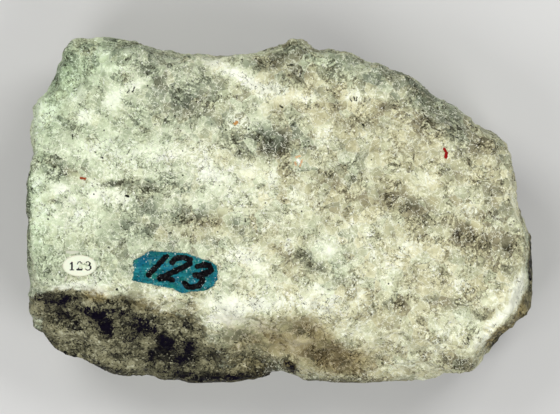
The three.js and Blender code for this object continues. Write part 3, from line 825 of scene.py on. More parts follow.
def between(tree, value, low, high, to_low=0.0, to_high=1.0):
    """Value taken smoothly from to_low at low to to_high at high."""
    pairs = [("Value", value), ("From Min", low), ("From Max", high), ("To Min", to_low), ("To Max", to_high)]
    return node(tree, "MapRange", pairs, interpolation_type="SMOOTHSTEP").outputs["Result"]


def mix(tree, share, a, b, blend="MIX"):
    return node(tree, "Mix", [(0, share), (6, a), (7, b)], data_type="RGBA", blend_type=blend).outputs[2]


def lay(tree, under, mask, strength, colour):
    """A colour laid over another one where the mask is 1, as strongly as said."""
    return mix(tree, calculate(tree, "MULTIPLY", mask, strength), under, colour)


def place_in_mm(tree):
    """The place on the piece. Object coordinates are in metres, and the patterns here are sized in mm."""
    return vector(tree, "MULTIPLY", node(tree, "TexCoord").outputs["Object"], (1000, 1000, 1000))


def scaled(tree, way, by):
    """A vector made longer or shorter by a number that may come from a node."""
    return node(tree, "VectorMath", [(0, way), ("Scale", by)], operation="SCALE").outputs["Vector"]


def cloud(tree, place, size, detail=3.0, roughness=0.55):
    """Noise from 0 to 1 with clouds about this many mm across."""
    pairs = [("Vector", place), ("Scale", 1 / size), ("Detail", detail), ("Roughness", roughness)]
    return node(tree, "TexNoise", pairs).outputs["Fac"]


def ramp(tree, value, stops):
    made = node(tree, "ValToRGB", [("Fac", value)])
    elements = made.color_ramp.elements
    for position, colour in stops[1:-1]:
        elements.new(position).color = colour
    elements[0].position, elements[0].color = stops[0]
    elements[len(stops) - 1].position, elements[len(stops) - 1].color = stops[-1]
    return made.outputs["Color"]


def group(name, inputs, outputs):
    """A new node group with these sockets: (name, kind) pairs, where a kind is Float, Vector or Color."""
    tree = bpy.data.node_groups.new(name, "ShaderNodeTree")
    for direction, sockets in (("INPUT", inputs), ("OUTPUT", outputs)):
        for label, kind in sockets:
            tree.interface.new_socket(label, in_out=direction, socket_type="NodeSocket" + kind)
    return tree, tree.nodes.new("NodeGroupInput").outputs, tree.nodes.new("NodeGroupOutput").inputs


def place_group(tree, made, inputs):
    new = tree.nodes.new("ShaderNodeGroup")
    new.node_tree = made
    for key, value in inputs:
        feed(tree, new.inputs[key], value)
    return new.outputs


# %% [markdown]
# Crumbs and splinters are flat-toned bits with sharp edges, so they are cells too. This helper gives each
# cell's random number, less a half, so that it can be added to a tone without changing its average.

# %% Helper: splinters
def splinters(tree, place, size):
    """A random number from -0.5 to 0.5 for each sharp-edged bit about this many mm across."""
    cell = node(tree, "TexVoronoi", [("Vector", place), ("Scale", 1 / size)], feature="F1")
    random = node(tree, "SeparateColor", [("Color", cell.outputs["Color"])])
    return less_half(tree, random.outputs["Blue"])


# %% [markdown]
# Every crystal of marble has its own tone, and its broken face its own tilt. This group finds the crystal at a
# place. It gives two random numbers for the crystal, the crystal's middle, at which a zone can be read so that
# the whole crystal takes one tone, the height of its tilted face for a bump, and the distance to its rim in
# millimetres. The place is bent by noise first, so that the crystals aren't all straight-sided cells. Calcite
# also splits along parallel planes. So the group gives a place that is squeezed across the crystal's own
# planes: noise that is read there lies in thin parallel sheets. Turn is the crystal's own set of angles.

# %% Group: crystals
crystals, given, result = group(
    "crystals",
    [("Place", "Vector"), ("Size", "Float"), ("Bend", "Float"), ("Squeeze", "Float")],
    [("Random", "Float"), ("Other Random", "Float"), ("Middle", "Vector"), ("Face Height", "Float"),
     ("Rim", "Float"), ("Sheets", "Vector"), ("Turn", "Vector")],
)
bend_size = calculate(crystals, "DIVIDE", 1.1, given["Size"])
bend_noise = node(crystals, "TexNoise", [("Vector", given["Place"]), ("Scale", bend_size), ("Detail", 2.0)])
bend_way = vector(crystals, "SUBTRACT", bend_noise.outputs["Color"], (0.5, 0.5, 0.5))
bent = vector(crystals, "ADD", given["Place"], scaled(crystals, bend_way, given["Bend"]))
per_mm = calculate(crystals, "DIVIDE", 1.0, given["Size"])
cell = node(crystals, "TexVoronoi", [("Vector", bent), ("Scale", per_mm)], feature="F1")
rim = node(crystals, "TexVoronoi", [("Vector", bent), ("Scale", per_mm)], feature="DISTANCE_TO_EDGE")
parts = node(crystals, "SeparateColor", [("Color", cell.outputs["Color"])])
tilt = vector(crystals, "SUBTRACT", cell.outputs["Color"], (0.5, 0.5, 0.5))
offset = vector(crystals, "SUBTRACT", bent, cell.outputs["Position"])
feed(crystals, result["Random"], parts.outputs["Red"])
feed(crystals, result["Other Random"], parts.outputs["Green"])
feed(crystals, result["Middle"], cell.outputs["Position"])
feed(crystals, result["Face Height"], vector(crystals, "DOT_PRODUCT", tilt, offset))
feed(crystals, result["Rim"], calculate(crystals, "MULTIPLY", rim.outputs["Distance"], given["Size"]))
planes = vector(crystals, "NORMALIZE", tilt)
across = vector(crystals, "DOT_PRODUCT", bent, planes)
squeeze = calculate(crystals, "MULTIPLY", across, given["Squeeze"])
feed(crystals, result["Sheets"], vector(crystals, "ADD", bent, scaled(crystals, planes, squeeze)))
feed(crystals, result["Turn"], vector(crystals, "MULTIPLY", cell.outputs["Color"], (3, 3, 3)))
print("crystals:", len(crystals.nodes), "nodes")

# %% [markdown]
# Inside a large crystal, calcite breaks into blocky bits with square corners, all turned the same way. Cells
# that are measured along the axes are such blocks. The group turns the place by the large crystal's own angles
# first, and turns the block's middle back afterwards, so that a zone can be read there.

# %% Group: blocks inside a crystal
blocks, given, result = group(
    "blocks",
    [("Place", "Vector"), ("Turn", "Vector"), ("Size", "Float")],
    [("Random", "Float"), ("Other Random", "Float"), ("Middle", "Vector"), ("Face Height", "Float")],
)
turned = node(blocks, "VectorRotate", [("Vector", given["Place"]), ("Rotation", given["Turn"])],
              rotation_type="EULER_XYZ").outputs[0]
per_mm = calculate(blocks, "DIVIDE", 1.0, given["Size"])
cell = node(blocks, "TexVoronoi", [("Vector", turned), ("Scale", per_mm)], feature="F1", distance="CHEBYCHEV")
middle = node(blocks, "VectorRotate", [("Vector", cell.outputs["Position"]), ("Rotation", given["Turn"])],
              rotation_type="EULER_XYZ", invert=True).outputs[0]
parts = node(blocks, "SeparateColor", [("Color", cell.outputs["Color"])])
tilt = vector(blocks, "SUBTRACT", cell.outputs["Color"], (0.5, 0.5, 0.5))
offset = vector(blocks, "SUBTRACT", turned, cell.outputs["Position"])
feed(blocks, result["Random"], parts.outputs["Red"])
feed(blocks, result["Other Random"], parts.outputs["Green"])
feed(blocks, result["Middle"], middle)
feed(blocks, result["Face Height"], vector(blocks, "DOT_PRODUCT", tilt, offset))
print("blocks:", len(blocks.nodes), "nodes")

# %% [markdown]
# Small dark specks are scattered grains of another mineral. Space is parted into cells, and only a share of
# them holds a speck, a small blob round the cell's middle.

# %% Group: specks
specks, given, result = group(
    "specks",
    [("Place", "Vector"), ("Spacing", "Float"), ("Radius", "Float"), ("Share", "Float")],
    [("Mask", "Float")],
)
per_mm = calculate(specks, "DIVIDE", 1.0, given["Spacing"])
cell = node(specks, "TexVoronoi", [("Vector", given["Place"]), ("Scale", per_mm)], feature="F1")
distance = calculate(specks, "MULTIPLY", cell.outputs["Distance"], given["Spacing"])
random = node(specks, "SeparateColor", [("Color", cell.outputs["Color"])])
larger = calculate(specks, "ADD", random.outputs["Green"], 0.5)
own_radius = calculate(specks, "MULTIPLY", given["Radius"], larger)
inside = between(specks, calculate(specks, "DIVIDE", distance, own_radius), 1.15, 0.85)
chosen = calculate(specks, "LESS_THAN", random.outputs["Red"], given["Share"])
feed(specks, result["Mask"], calculate(specks, "MULTIPLY", inside, chosen))
print("specks:", len(specks.nodes), "nodes")

# %% [markdown]
# A brushed or printed digit is a few strokes. This group gives the distance from a place to one stroke, a line
# with round ends, less half the stroke's width, so it is below zero in the ink. The strokes of a number are
# joined by taking the smallest distance. The same group writes the digits on the paint and on the paper, and
# draws the few specks that have their own place. The share is held between 0 and 1 by the Minimum and Maximum
# of two nodes: a Clamp setting would keep a value of every stroke at once, more than the renderer can hold.

# %% Group: one stroke of a pen or brush
stroke, given, result = group(
    "stroke",
    [("Place", "Vector"), ("From", "Vector"), ("To", "Vector"), ("Half Width", "Float")],
    [("Distance", "Float")],
)
whole = vector(stroke, "SUBTRACT", given["To"], given["From"])
offset = vector(stroke, "SUBTRACT", given["Place"], given["From"])
length_squared = vector(stroke, "DOT_PRODUCT", whole, whole)
share = calculate(stroke, "DIVIDE", vector(stroke, "DOT_PRODUCT", offset, whole), length_squared)
share = calculate(stroke, "MAXIMUM", calculate(stroke, "MINIMUM", share, 1.0), 0.0)
gap = vector(stroke, "DISTANCE", offset, scaled(stroke, whole, share))
feed(stroke, result["Distance"], calculate(stroke, "SUBTRACT", gap, given["Half Width"]))


def draw_strokes(tree, place, strokes):
    """The distance to the nearest stroke, in mm. A stroke is its two ends, in pixels, and its half width."""
    flat = vector(tree, "MULTIPLY", place, (1, 1, 0))
    nearest = None
    for start, end, half_width in strokes:
        ends = [("From", (*on_top(*start), 0)), ("To", (*on_top(*end), 0))]
        one = place_group(tree, stroke, [("Place", flat), *ends, ("Half Width", half_width)])["Distance"]
        nearest = one if nearest is None else calculate(tree, "MINIMUM", nearest, one)
    return nearest


def write_number(tree, place, lines, half_width):
    """The distance to a number's nearest stroke. A line is a list of pixels that the pen goes through."""
    return draw_strokes(tree, place, [(*ends, half_width) for line in lines for ends in zip(line, line[1:])])


# %% [markdown]
# The marble's finish starts with a tone from dark to white, and this cell lays what the tone is made of. Clouds
# of noise are read at a crystal's middle, which gives each crystal one even tone, as translucent crystals have.
# Splinters, crumbs and fine noise then break the crystals up into the crushed, sugary texture of a hammered
# face. A slow noise decides where the face is busy with them, and where it stays calm.

# %% The crystals, crumbs and clouds of the marble
BIG_CRYSTAL, SMALL_BLOCK = 3.1, 1.5
SPLINTER_SIZE, CRUMB_SIZE = 1.9, 0.36

marble, marble_shader = principled(
    "coarse_marble", Specular_IOR_Level=0.05, Subsurface_Weight=0.1, Subsurface_Scale=0.001,
    Subsurface_Radius=(1.0, 0.95, 0.75), Coat_Roughness=0.15
)
tree = marble.node_tree
place = place_in_mm(tree)


def kept(name):
    """The value that was kept on the points under this name."""
    return node(tree, "Attribute", attribute_name=name).outputs["Fac"]


big = place_group(tree, crystals, [("Place", place), ("Size", BIG_CRYSTAL), ("Bend", 1.6), ("Squeeze", 3.4)])
bend_noise = node(tree, "TexNoise", [("Vector", place), ("Scale", 1.3), ("Detail", 2.0)])
bend = vector(tree, "SUBTRACT", bend_noise.outputs["Color"], (0.5, 0.5, 0.5))
bent = vector(tree, "ADD", place, vector(tree, "MULTIPLY", bend, (0.5, 0.5, 0.5)))
small = place_group(tree, blocks, [("Place", bent), ("Turn", big["Turn"]), ("Size", SMALL_BLOCK)])
big_random, big_other = (less_half(tree, big[name]) for name in ("Random", "Other Random"))
small_random, small_other = (less_half(tree, small[name]) for name in ("Random", "Other Random"))
layers = vector(tree, "MULTIPLY", big["Middle"], (0.55, 1.5, 1.2))
layering = less_half(tree, cloud(tree, layers, 7.0, 3.0, 0.6))
mottle = less_half(tree, cloud(tree, small["Middle"], 3.4, 3.0, 0.65))
long_bits = splinters(tree, big["Sheets"], SPLINTER_SIZE)
crumbs = splinters(tree, place, CRUMB_SIZE)
sugar = less_half(tree, cloud(tree, place, 0.5, 3.0, 0.75))
restless = add_parts(tree, cloud(tree, place, 4.0, 2.0), (small["Other Random"], 0.22))
busy = between(tree, restless, 0.53, 0.76, 0.06, 1.9)
mottle_strength = between(tree, kept("warmth"), 0.1, 1.0, 1.1, 0.8)
print("crystals, crumbs and clouds laid,", len(tree.nodes), "nodes")

# %% [markdown]
# The painted zones, the clouds and each crystal's own random number now add up to the tone. Two ramps turn it
# into the stone's colours, from grey to chalk white: a cool greenish one and a warm creamy one. The warmth, and
# a number of each crystal's own, mixes the two.

# %% The tone of the marble and its colour
MIDDLE_TONE = 0.497
COOL_STOPS = [
    (0.0, srgb(40, 42, 32)), (0.2, srgb(90, 95, 78)), (0.36, srgb(137, 145, 123)), (0.5, srgb(180, 188, 158)),
    (0.64, srgb(208, 216, 185)), (0.82, srgb(227, 235, 206)), (1.0, srgb(250, 252, 240)),
]
WARM_STOPS = [
    (0.0, srgb(44, 38, 26)), (0.2, srgb(96, 91, 70)), (0.36, srgb(145, 139, 111)), (0.5, srgb(186, 182, 145)),
    (0.64, srgb(213, 210, 173)), (0.82, srgb(232, 230, 196)), (1.0, srgb(251, 250, 238)),
]

zone = calculate(tree, "MULTIPLY", kept("tone"), calculate(tree, "MULTIPLY_ADD", mottle, 2.0, 1.0))
own_mottle = calculate(tree, "MULTIPLY", mottle, mottle_strength)
tone = add_parts(tree, MIDDLE_TONE, (zone, 0.35), (layering, 0.32), (own_mottle, 0.5), (big_random, 0.17),
                 (small_random, 0.11))
fine = add_parts(tree, calculate(tree, "MULTIPLY", long_bits, 0.24), (sugar, 0.3), (crumbs, 0.22))
fine = calculate(tree, "MULTIPLY", fine, busy)
fine = calculate(tree, "MAXIMUM", fine, calculate(tree, "MULTIPLY", fine, 0.65))
tone = calculate(tree, "ADD", tone, fine)
hue = add_parts(tree, kept("warmth"), (big_other, 0.7), (small_other, 0.3))
hue = calculate(tree, "MULTIPLY_ADD", less_half(tree, cloud(tree, place, 8.0)), 0.5, hue, clamp=True)
colour = mix(tree, hue, ramp(tree, tone, COOL_STOPS), ramp(tree, tone, WARM_STOPS))
print("tone laid,", len(tree.nodes), "nodes")

# %% [markdown]
# A hammer blow crushes some of the calcite to white powder, and opens hairline gaps. The powder lies in ragged
# patches, most of all on the marks that are whiter. A hairline is where a slow noise passes through its middle
# value, so it runs on like a real crack: dark where it gapes, light where it has healed. The rims of the larger
# crystals are painted lighter, a painted highlight where they would catch the light. Another noise keeps these
# lines to some areas. Single crumbs get painted highlights, more of them where the face is busy, and others
# get painted shade where the tone is dark, as if they were missing and left pits.

# %% Powder, hairlines, painted highlights and painted shade in pits
def hairlines(size, width, where, low, high):
    """1 on thin winding lines, kept to where another noise has passed from low to high."""
    from_middle = calculate(tree, "ABSOLUTE", less_half(tree, cloud(tree, place, size, 4.0, 0.6)))
    line = between(tree, from_middle, width, width * 0.3)
    return calculate(tree, "MULTIPLY", line, between(tree, where, low, high))


powder_reach = add_parts(tree, cloud(tree, big["Sheets"], 2.6, 5.0, 0.75), (kept("tone"), 0.2), (crumbs, 0.08))
colour = lay(tree, colour, between(tree, powder_reach, 0.63, 0.65), 0.8, srgb(243, 246, 226))
patches = cloud(tree, place, 4.0, 2.0)
dark_lines = hairlines(2.4, 0.013, patches, 0.44, 0.5)
light_lines = hairlines(1.8, 0.014, patches, 0.58, 0.5)
# Painted highlight: the rims of the larger crystals are painted lighter where they would catch the light.
rims = between(tree, add_parts(tree, big["Rim"], (sugar, 0.5)), 0.12, 0.07)
rims = calculate(tree, "MULTIPLY", rims, between(tree, patches, 0.6, 0.5))
rims = calculate(tree, "MULTIPLY", rims, between(tree, tone, 0.35, 0.55))
colour = lay(tree, colour, rims, 0.5, srgb(236, 238, 214))
colour = lay(tree, colour, dark_lines, 0.9, srgb(62, 62, 42))
colour = lay(tree, colour, light_lines, 0.9, srgb(248, 249, 228))
# Painted highlights: single crumbs are painted near white as sparkling points of light.
points_of_light = between(tree, add_parts(tree, crumbs, (sugar, 0.5)), 0.47, 0.51)
colour = lay(tree, colour, points_of_light, between(tree, busy, 0.1, 1.2, 0.15, 0.6), srgb(252, 252, 244))
# Painted shade: where the tone is dark, single crumbs are painted dark as shaded pits.
pits = between(tree, add_parts(tree, crumbs, (tone, 0.9)), -0.18, -0.23)
colour = lay(tree, colour, pits, 0.75, srgb(46, 44, 30))
print("powder, lines and pits laid,", len(tree.nodes), "nodes")

# %% [markdown]
# Tinges lie over the tone: green at the left edge, and a brown stain in the hollow and in a few other places.
# They multiply the colour, as a stain does.

# %% Tinges of green and brown
green_share = calculate(tree, "MULTIPLY", kept("green"), 0.6, clamp=True)
colour = mix(tree, green_share, colour, srgb(232, 248, 236), "MULTIPLY")
stain_share = between(tree, add_parts(tree, kept("stain"), (mottle, 0.9)), 0.0, 1.3)
colour = mix(tree, stain_share, colour, srgb(200, 188, 170), "MULTIPLY")
print("tinges laid,", len(tree.nodes), "nodes")

# %% [markdown]
# The dark slope is another rock: grey, olive and brown grains with lighter crystals among them, and clots that
# are nearly black. It has its own tone, its own ramp and its own painted shade in pits and painted highlights
# on crumbs, and gritty noise makes it coarser than the marble. It is laid over the marble, and its edge follows
# the crystals and the grit.
# A photograph from above doesn't show the walls and the underside. A slow noise gives them a few large dark
# patches of the same rock, so that the block is one stone from all sides.

# %% The dark slope and its clots
SLOPE_STOPS = [
    (0.0, srgb(10, 8, 12)), (0.18, srgb(48, 47, 38)), (0.38, srgb(98, 96, 74)), (0.58, srgb(136, 133, 104)),
    (0.8, srgb(165, 163, 133)), (1.0, srgb(204, 204, 178)),
]
MIDDLE_SLOPE_TONE = 0.38

grit = less_half(tree, cloud(tree, place, 1.5, 6.0, 0.78))
slope_tone = add_parts(
    tree, MIDDLE_SLOPE_TONE, (mottle, 1.1), (grit, 1.0), (kept("tone"), 0.26), (layering, 0.8),
    (small_other, 0.24), (big_random, 0.24), (fine, 0.6), (crumbs, 0.2)
)
slope_colour = ramp(tree, slope_tone, SLOPE_STOPS)
warm_share = between(tree, kept("warmth"), 0.1, 0.9)
slope_colour = mix(tree, warm_share, slope_colour, srgb(255, 240, 214), "MULTIPLY")
# Painted shade and painted highlights on the slope: some crumbs are painted near black as pits, others light as
# points of light.
slope_colour = mix(tree, between(tree, crumbs, -0.38, -0.42, 0.0, 0.75), slope_colour, srgb(16, 14, 12))
slope_colour = mix(tree, between(tree, crumbs, 0.42, 0.46, 0.0, 0.4), slope_colour, srgb(190, 188, 160))
large_patches = between(tree, cloud(tree, place, 30.0, 2.0), 0.52, 0.66)
elsewhere = calculate(tree, "MULTIPLY", kept("unseen"), large_patches)
slope_reach = calculate(tree, "ADD", kept("slope"), elsewhere)
slope_reach = add_parts(tree, slope_reach, (grit, 1.4), (mottle, 0.9))
colour = mix(tree, between(tree, slope_reach, 0.25, 0.65), colour, slope_colour)

clot_reach = add_parts(tree, calculate(tree, "MULTIPLY", crumbs, 0.7), (mottle, 1.2), (grit, 4.2))
clot_share = between(tree, calculate(tree, "ADD", kept("clots"), clot_reach), 0.48, 0.6)
clot_share = calculate(tree, "MULTIPLY", clot_share, between(tree, kept("clots"), 0.03, 0.15))
colour = mix(tree, clot_share, colour, srgb(9, 5, 20))
print("slope laid,", len(tree.nodes), "nodes")

# %% [markdown]
# Specks come last on the stone: black ones and faint grey ones all over, and a few larger ones of rust, red,
# white and black that are placed one by one with the stroke group.

# %% Specks
SINGLE_SPECKS = [
    # colour, and the strokes that have it: from, to, half width in mm
    (srgb(190, 142, 84), [((235, 124), (237, 122), 0.34)]),
    (srgb(207, 168, 126), [
        ((296, 157), (300, 156), 0.2), ((302, 160), (300, 166), 0.2), ((295, 162), (296, 165), 0.18),
    ]),
    (srgb(250, 248, 236), [((298, 160), (299, 162), 0.26)]),
    (srgb(150, 66, 30), [((81, 178), (85, 178.5), 0.3)]),
    (srgb(140, 16, 14), [((444.5, 149), (446.5, 153), 0.36), ((446.5, 153), (446, 157), 0.42)]),
    (srgb(24, 25, 18), [
        ((127, 93), (129, 90), 0.16), ((132.5, 92), (134.5, 87), 0.16), ((287.5, 65), (293, 64.5), 0.17),
        ((280, 105.5), (282.5, 107.5), 0.17), ((127, 154), (129.5, 150), 0.12),
        ((354, 96.5), (355, 100), 0.15), ((357, 97), (356.5, 100), 0.14), ((350.5, 99), (351.5, 101), 0.14),
        ((425, 115), (431, 121), 0.12), ((434, 128), (440, 131), 0.12), ((450, 134), (459, 138), 0.12),
        ((72, 134.5), (73, 139), 0.12), ((102, 157.5), (102.6, 158), 0.2), ((95, 152), (95.6, 152.4), 0.16),
        ((363, 124.5), (364, 125.5), 0.2), ((245, 219), (245.4, 221.5), 0.15),
        ((117, 289), (117.5, 289.8), 0.24), ((108.5, 247), (109, 247.4), 0.2),
        ((234, 343), (236.5, 343.4), 0.15), ((126, 195.5), (128.5, 196.5), 0.24),
    ]),
]


def speck_mask(spacing, radius, share):
    """1 on scattered specks. The lengths are in mm."""
    pairs = [("Place", place), ("Spacing", spacing), ("Radius", radius), ("Share", share)]
    return place_group(tree, specks, pairs)["Mask"]


faint, black = speck_mask(2.0, 0.2, 0.4), speck_mask(2.1, 0.17, 0.5)
colour = lay(tree, colour, faint, 0.45, srgb(92, 92, 76))
colour = lay(tree, colour, black, 0.9, srgb(20, 18, 10))
above = between(tree, node(tree, "SeparateXYZ", [("Vector", place)]).outputs["Z"], 24, 28)
for speck_colour, strokes in SINGLE_SPECKS:
    reach = add_parts(tree, draw_strokes(tree, place, strokes), (sugar, 0.8))
    colour = lay(tree, colour, between(tree, reach, 0.1, -0.1), above, speck_colour)
print("specks laid,", len(tree.nodes), "nodes")

# %% [markdown]
# The painted patch is oil paint, brushed on from left to right over the rough stone. It is thinner on the high
# grains, where green and white stone shows through, and streaked along the brush. The black number is brushed
# on top of it. Small glints are painted over both, painted highlights where grains poke through, and some
# dirt has gathered round the edge. Paint is smoother than the stone, so it also has a thin coat.

# %% The painted patch and its number
PAINTED_NUMBER = [
    [(165.7, 256.8), (157, 266), (148.3, 275.1)],
    [(172, 262.5), (175, 258.5), (183, 257.4), (190, 259.6), (189.6, 263.6), (182, 268.2), (170, 273.2),
     (159.5, 278.2)],
    [(159.5, 278.2), (166, 278.4), (172.5, 279.8)],
    [(197.5, 266.2), (203, 264.8), (209.6, 266.2), (211.2, 270.4), (204.5, 273.8), (195.5, 275.2)],
    [(195.5, 275.2), (201.6, 277), (202.4, 281.4), (198.5, 285.6), (192.5, 287.2), (187, 286.2),
     (184.5, 283.4)],
]
PAINTED_HALF_WIDTH = 0.7
TEAL_STOPS = [
    (0.3, srgb(4, 72, 82)), (0.46, srgb(14, 98, 106)), (0.6, srgb(30, 121, 130)), (0.75, srgb(74, 154, 158)),
]
GLINT_SIZE = 0.27

brush = cloud(tree, vector(tree, "MULTIPLY", place, (0.14, 1.25, 0.5)), 1.1, 4.0, 0.6)
paint_edge = add_parts(tree, kept("patch_edge"), (less_half(tree, brush), 0.9), (sugar, 0.7))
painted = between(tree, paint_edge, 0.1, -0.1)
teal = ramp(tree, brush, TEAL_STOPS)
teal = mix(tree, between(tree, cloud(tree, place, 2.6), 0.5, 0.64, 0.0, 0.45), teal, srgb(8, 88, 128))
teal = mix(tree, between(tree, cloud(tree, place, 1.9), 0.54, 0.66, 0.0, 0.6), teal, srgb(34, 122, 98))
deep = between(tree, add_parts(tree, grit, (crumbs, 0.5)), -0.08, -0.26)
teal = lay(tree, teal, deep, 0.6, srgb(6, 52, 60))
thin = between(tree, add_parts(tree, calculate(tree, "ADD", grit, mottle), (crumbs, 0.4)), 0.14, 0.3)
teal = lay(tree, teal, thin, 0.65, srgb(86, 136, 116))

number = write_number(tree, place, PAINTED_NUMBER, PAINTED_HALF_WIDTH)
number = add_parts(tree, number, (less_half(tree, cloud(tree, place, 1.3, 4.0, 0.7)), 1.1))
inked = between(tree, number, 0.08, -0.08)
paint_colour = mix(tree, inked, teal, srgb(4, 3, 6))
# Painted highlights: small glints are painted on the teal paint and, more faintly, on the black ink.
glint_bits = add_parts(tree, splinters(tree, place, GLINT_SIZE), (sugar, 0.6))
glint_areas = between(tree, cloud(tree, place, 2.2), 0.48, 0.57)
glint = calculate(tree, "MULTIPLY", glint_areas, between(tree, glint_bits, 0.42, 0.49))
glint_colour = mix(tree, cloud(tree, place, 0.8), srgb(150, 210, 190), srgb(250, 226, 232))
paint_colour = lay(tree, paint_colour, glint, between(tree, inked, 0.0, 1.0, 0.9, 0.3), glint_colour)
dirt = between(tree, grit, -0.02, 0.1, 0.0, 0.6)
colour = lay(tree, colour, between(tree, paint_edge, 0.4, 0.15), dirt, srgb(92, 84, 62))
colour = mix(tree, painted, colour, paint_colour)
feed(tree, marble_shader.inputs["Base Color"], colour)
feed(tree, marble_shader.inputs["Coat Weight"], calculate(tree, "MULTIPLY", painted, 0.03))
print("paint laid,", len(tree.nodes), "nodes")

# %% [markdown]
# Cleavage faces are smoother than crushed grains, so each crystal has its own roughness. The bump adds what the
# net can't hold: the tilted faces of the smaller crystals, the splinters and the sugary grain, which is rougher
# where the face is busy. The height is in millimetres, like the place it is worked out from, and the Distance
# of the Bump node turns it into metres. Paint fills more than half of it.

# %% Roughness and bump of the marble
PAINT_ROUGHNESS = 0.3

roughness = add_parts(tree, between(tree, small["Other Random"], 0.0, 1.0, 0.36, 0.72), (sugar, 0.3))
roughness = node(tree, "Mix", [(0, painted), (2, roughness), (3, PAINT_ROUGHNESS)]).outputs[0]
feed(tree, marble_shader.inputs["Roughness"], roughness)

height = add_parts(tree, calculate(tree, "MULTIPLY", long_bits, 0.2), (crumbs, 0.08), (sugar, 0.16))
height = calculate(tree, "MULTIPLY", height, calculate(tree, "MULTIPLY_ADD", busy, 0.6, 0.15))
height = add_parts(tree, height, (big["Face Height"], 0.45), (small["Face Height"], 0.45))
height = calculate(tree, "MULTIPLY", height, between(tree, painted, 0.0, 1.0, 1.0, 0.45))
bump = node(tree, "Bump", [("Height", height), ("Distance", MM), ("Strength", 1.0)])
feed(tree, marble_shader.inputs["Normal"], bump.outputs["Normal"])
stone.data.materials.clear()
stone.data.materials.append(marble)
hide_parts("marble_block")
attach(stone, "root")
print("marble finished,", len(tree.nodes), "nodes")

# %% [markdown]
# The printed label is a small oval of paper, cut with a punch and stuck on. It follows the stone a little, so
# its oval is made as rings of small faces, dropped onto the stone and given the paper's thickness.

# %% The paper label
PAPER_THICKNESS = 0.16
PAPER_GAP = 0.05
OVAL_CORNERS = 72
RINGS, RING_WIDTH = 9, 0.24
PAPER_STIFFNESS = 30     # how many times the level is evened out

bpy.ops.object.select_all(action="DESELECT")
label_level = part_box("number_label")[1][2]
label_place = (*(v * MM for v in LABEL_MIDDLE), label_level)
bpy.ops.mesh.primitive_circle_add(vertices=OVAL_CORNERS, radius=0.5, fill_type="NGON", location=label_place)
label = bpy.context.object
label.name = "paper_label"
label.scale = (LABEL_SIZE[0] * MM, LABEL_SIZE[1] * MM, 1)
bpy.ops.object.transform_apply(location=True, rotation=True, scale=True)
bpy.ops.object.mode_set(mode="EDIT")
bpy.ops.mesh.select_all(action="SELECT")
for _ in range(RINGS):
    bpy.ops.mesh.inset(thickness=RING_WIDTH * MM, depth=0)
bpy.ops.mesh.select_all(action="SELECT")
bpy.ops.mesh.quads_convert_to_tris()
bpy.ops.object.mode_set(mode="OBJECT")
apply_modifier(label, "SHRINKWRAP", target=stone, wrap_method="PROJECT", use_project_z=True,
               use_positive_direction=False, use_negative_direction=True, offset=PAPER_GAP * MM)
apply_modifier(label, "SMOOTH", factor=0.5, iterations=PAPER_STIFFNESS, use_x=False, use_y=False)
apply_modifier(label, "SOLIDIFY", thickness=PAPER_THICKNESS * MM, offset=1)
bpy.ops.object.select_all(action="DESELECT")
label.select_set(True)
bpy.ops.object.shade_smooth_by_angle(angle=math.radians(40))
label_points, _ = read_points(label)
print("label:", len(label.data.vertices), "points")
print("label from", label_points.min(0).round(2), "to", label_points.max(0).round(2), "mm")

# %% [markdown]
# The paper is off-white and a little yellowed, with faint fibres, a rim that darkens towards its edge and
# small digits in black ink. The digits are drawn with the stroke group, their serifs with thinner strokes.

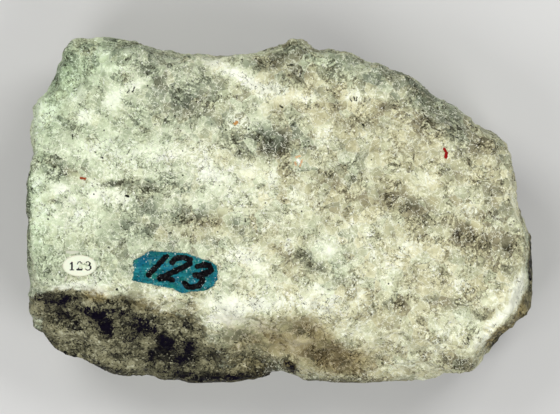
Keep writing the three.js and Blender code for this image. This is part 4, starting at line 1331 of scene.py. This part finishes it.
# %% The paper and its printed number
PRINTED_THICK = [
    [(71.9, 262.6), (71.9, 269.4)],
    [(81.5, 263.4), (81.3, 265.2), (79.6, 267)],
    [(89.9, 263.2), (89.6, 264.6)],
    [(90.6, 266.8), (90.6, 268.4)],
    [(77.2, 269.6), (81.6, 269.6)],
]
PRINTED_THIN = [
    [(70.2, 263.9), (71.9, 262.2)],
    [(70.1, 269.9), (73.7, 269.9)],
    [(77.4, 263.9), (78.2, 262.1), (80.2, 261.7), (81.5, 263.4)],
    [(79.6, 267), (77.2, 269.6)],
    [(81.6, 269.6), (82.4, 268.2)],
    [(85.6, 263.5), (86.6, 261.9), (88.6, 261.7), (89.9, 263.2)],
    [(89.6, 264.6), (87.6, 265.4), (89.8, 265.8), (90.6, 266.8)],
    [(90.6, 268.4), (89.4, 269.8), (87.2, 270.2), (85.5, 269)],
]
THICK_HALF_WIDTH, THIN_HALF_WIDTH = 0.22, 0.12

paper, paper_shader = principled(
    "label_paper", Roughness=0.72, Specular_IOR_Level=0.25, Subsurface_Weight=0.1, Subsurface_Scale=0.0004
)
tree = paper.node_tree
place = place_in_mm(tree)
fibres = cloud(tree, vector(tree, "MULTIPLY", place, (1, 2.6, 1)), 0.35, 4.0, 0.7)
paper_colour = mix(tree, fibres, srgb(212, 215, 192), srgb(231, 234, 213))
centred = vector(tree, "SUBTRACT", vector(tree, "MULTIPLY", place, (1, 1, 0)), (*LABEL_MIDDLE, 0))
rim_share = vector(tree, "LENGTH", vector(tree, "DIVIDE", centred, (LABEL_SIZE[0] / 2, LABEL_SIZE[1] / 2, 1)))
# The paper is darker towards the rim of the oval.
paper_colour = mix(tree, between(tree, rim_share, 0.86, 1.02, 0.0, 0.55), paper_colour, srgb(176, 172, 148))
thick = write_number(tree, place, PRINTED_THICK, THICK_HALF_WIDTH)
thin = write_number(tree, place, PRINTED_THIN, THIN_HALF_WIDTH)
ink = add_parts(tree, calculate(tree, "MINIMUM", thick, thin), (less_half(tree, fibres), 0.12))
paper_colour = mix(tree, between(tree, ink, 0.04, -0.04), paper_colour, srgb(24, 24, 26))
feed(tree, paper_shader.inputs["Base Color"], paper_colour)
paper_bump = node(tree, "Bump", [("Height", fibres), ("Distance", 0.02 * MM), ("Strength", 0.6)])
feed(tree, paper_shader.inputs["Normal"], paper_bump.outputs["Normal"])
label.data.materials.append(paper)
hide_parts("number_label")
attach(label, "root")
print("paper finished,", len(tree.nodes), "nodes")
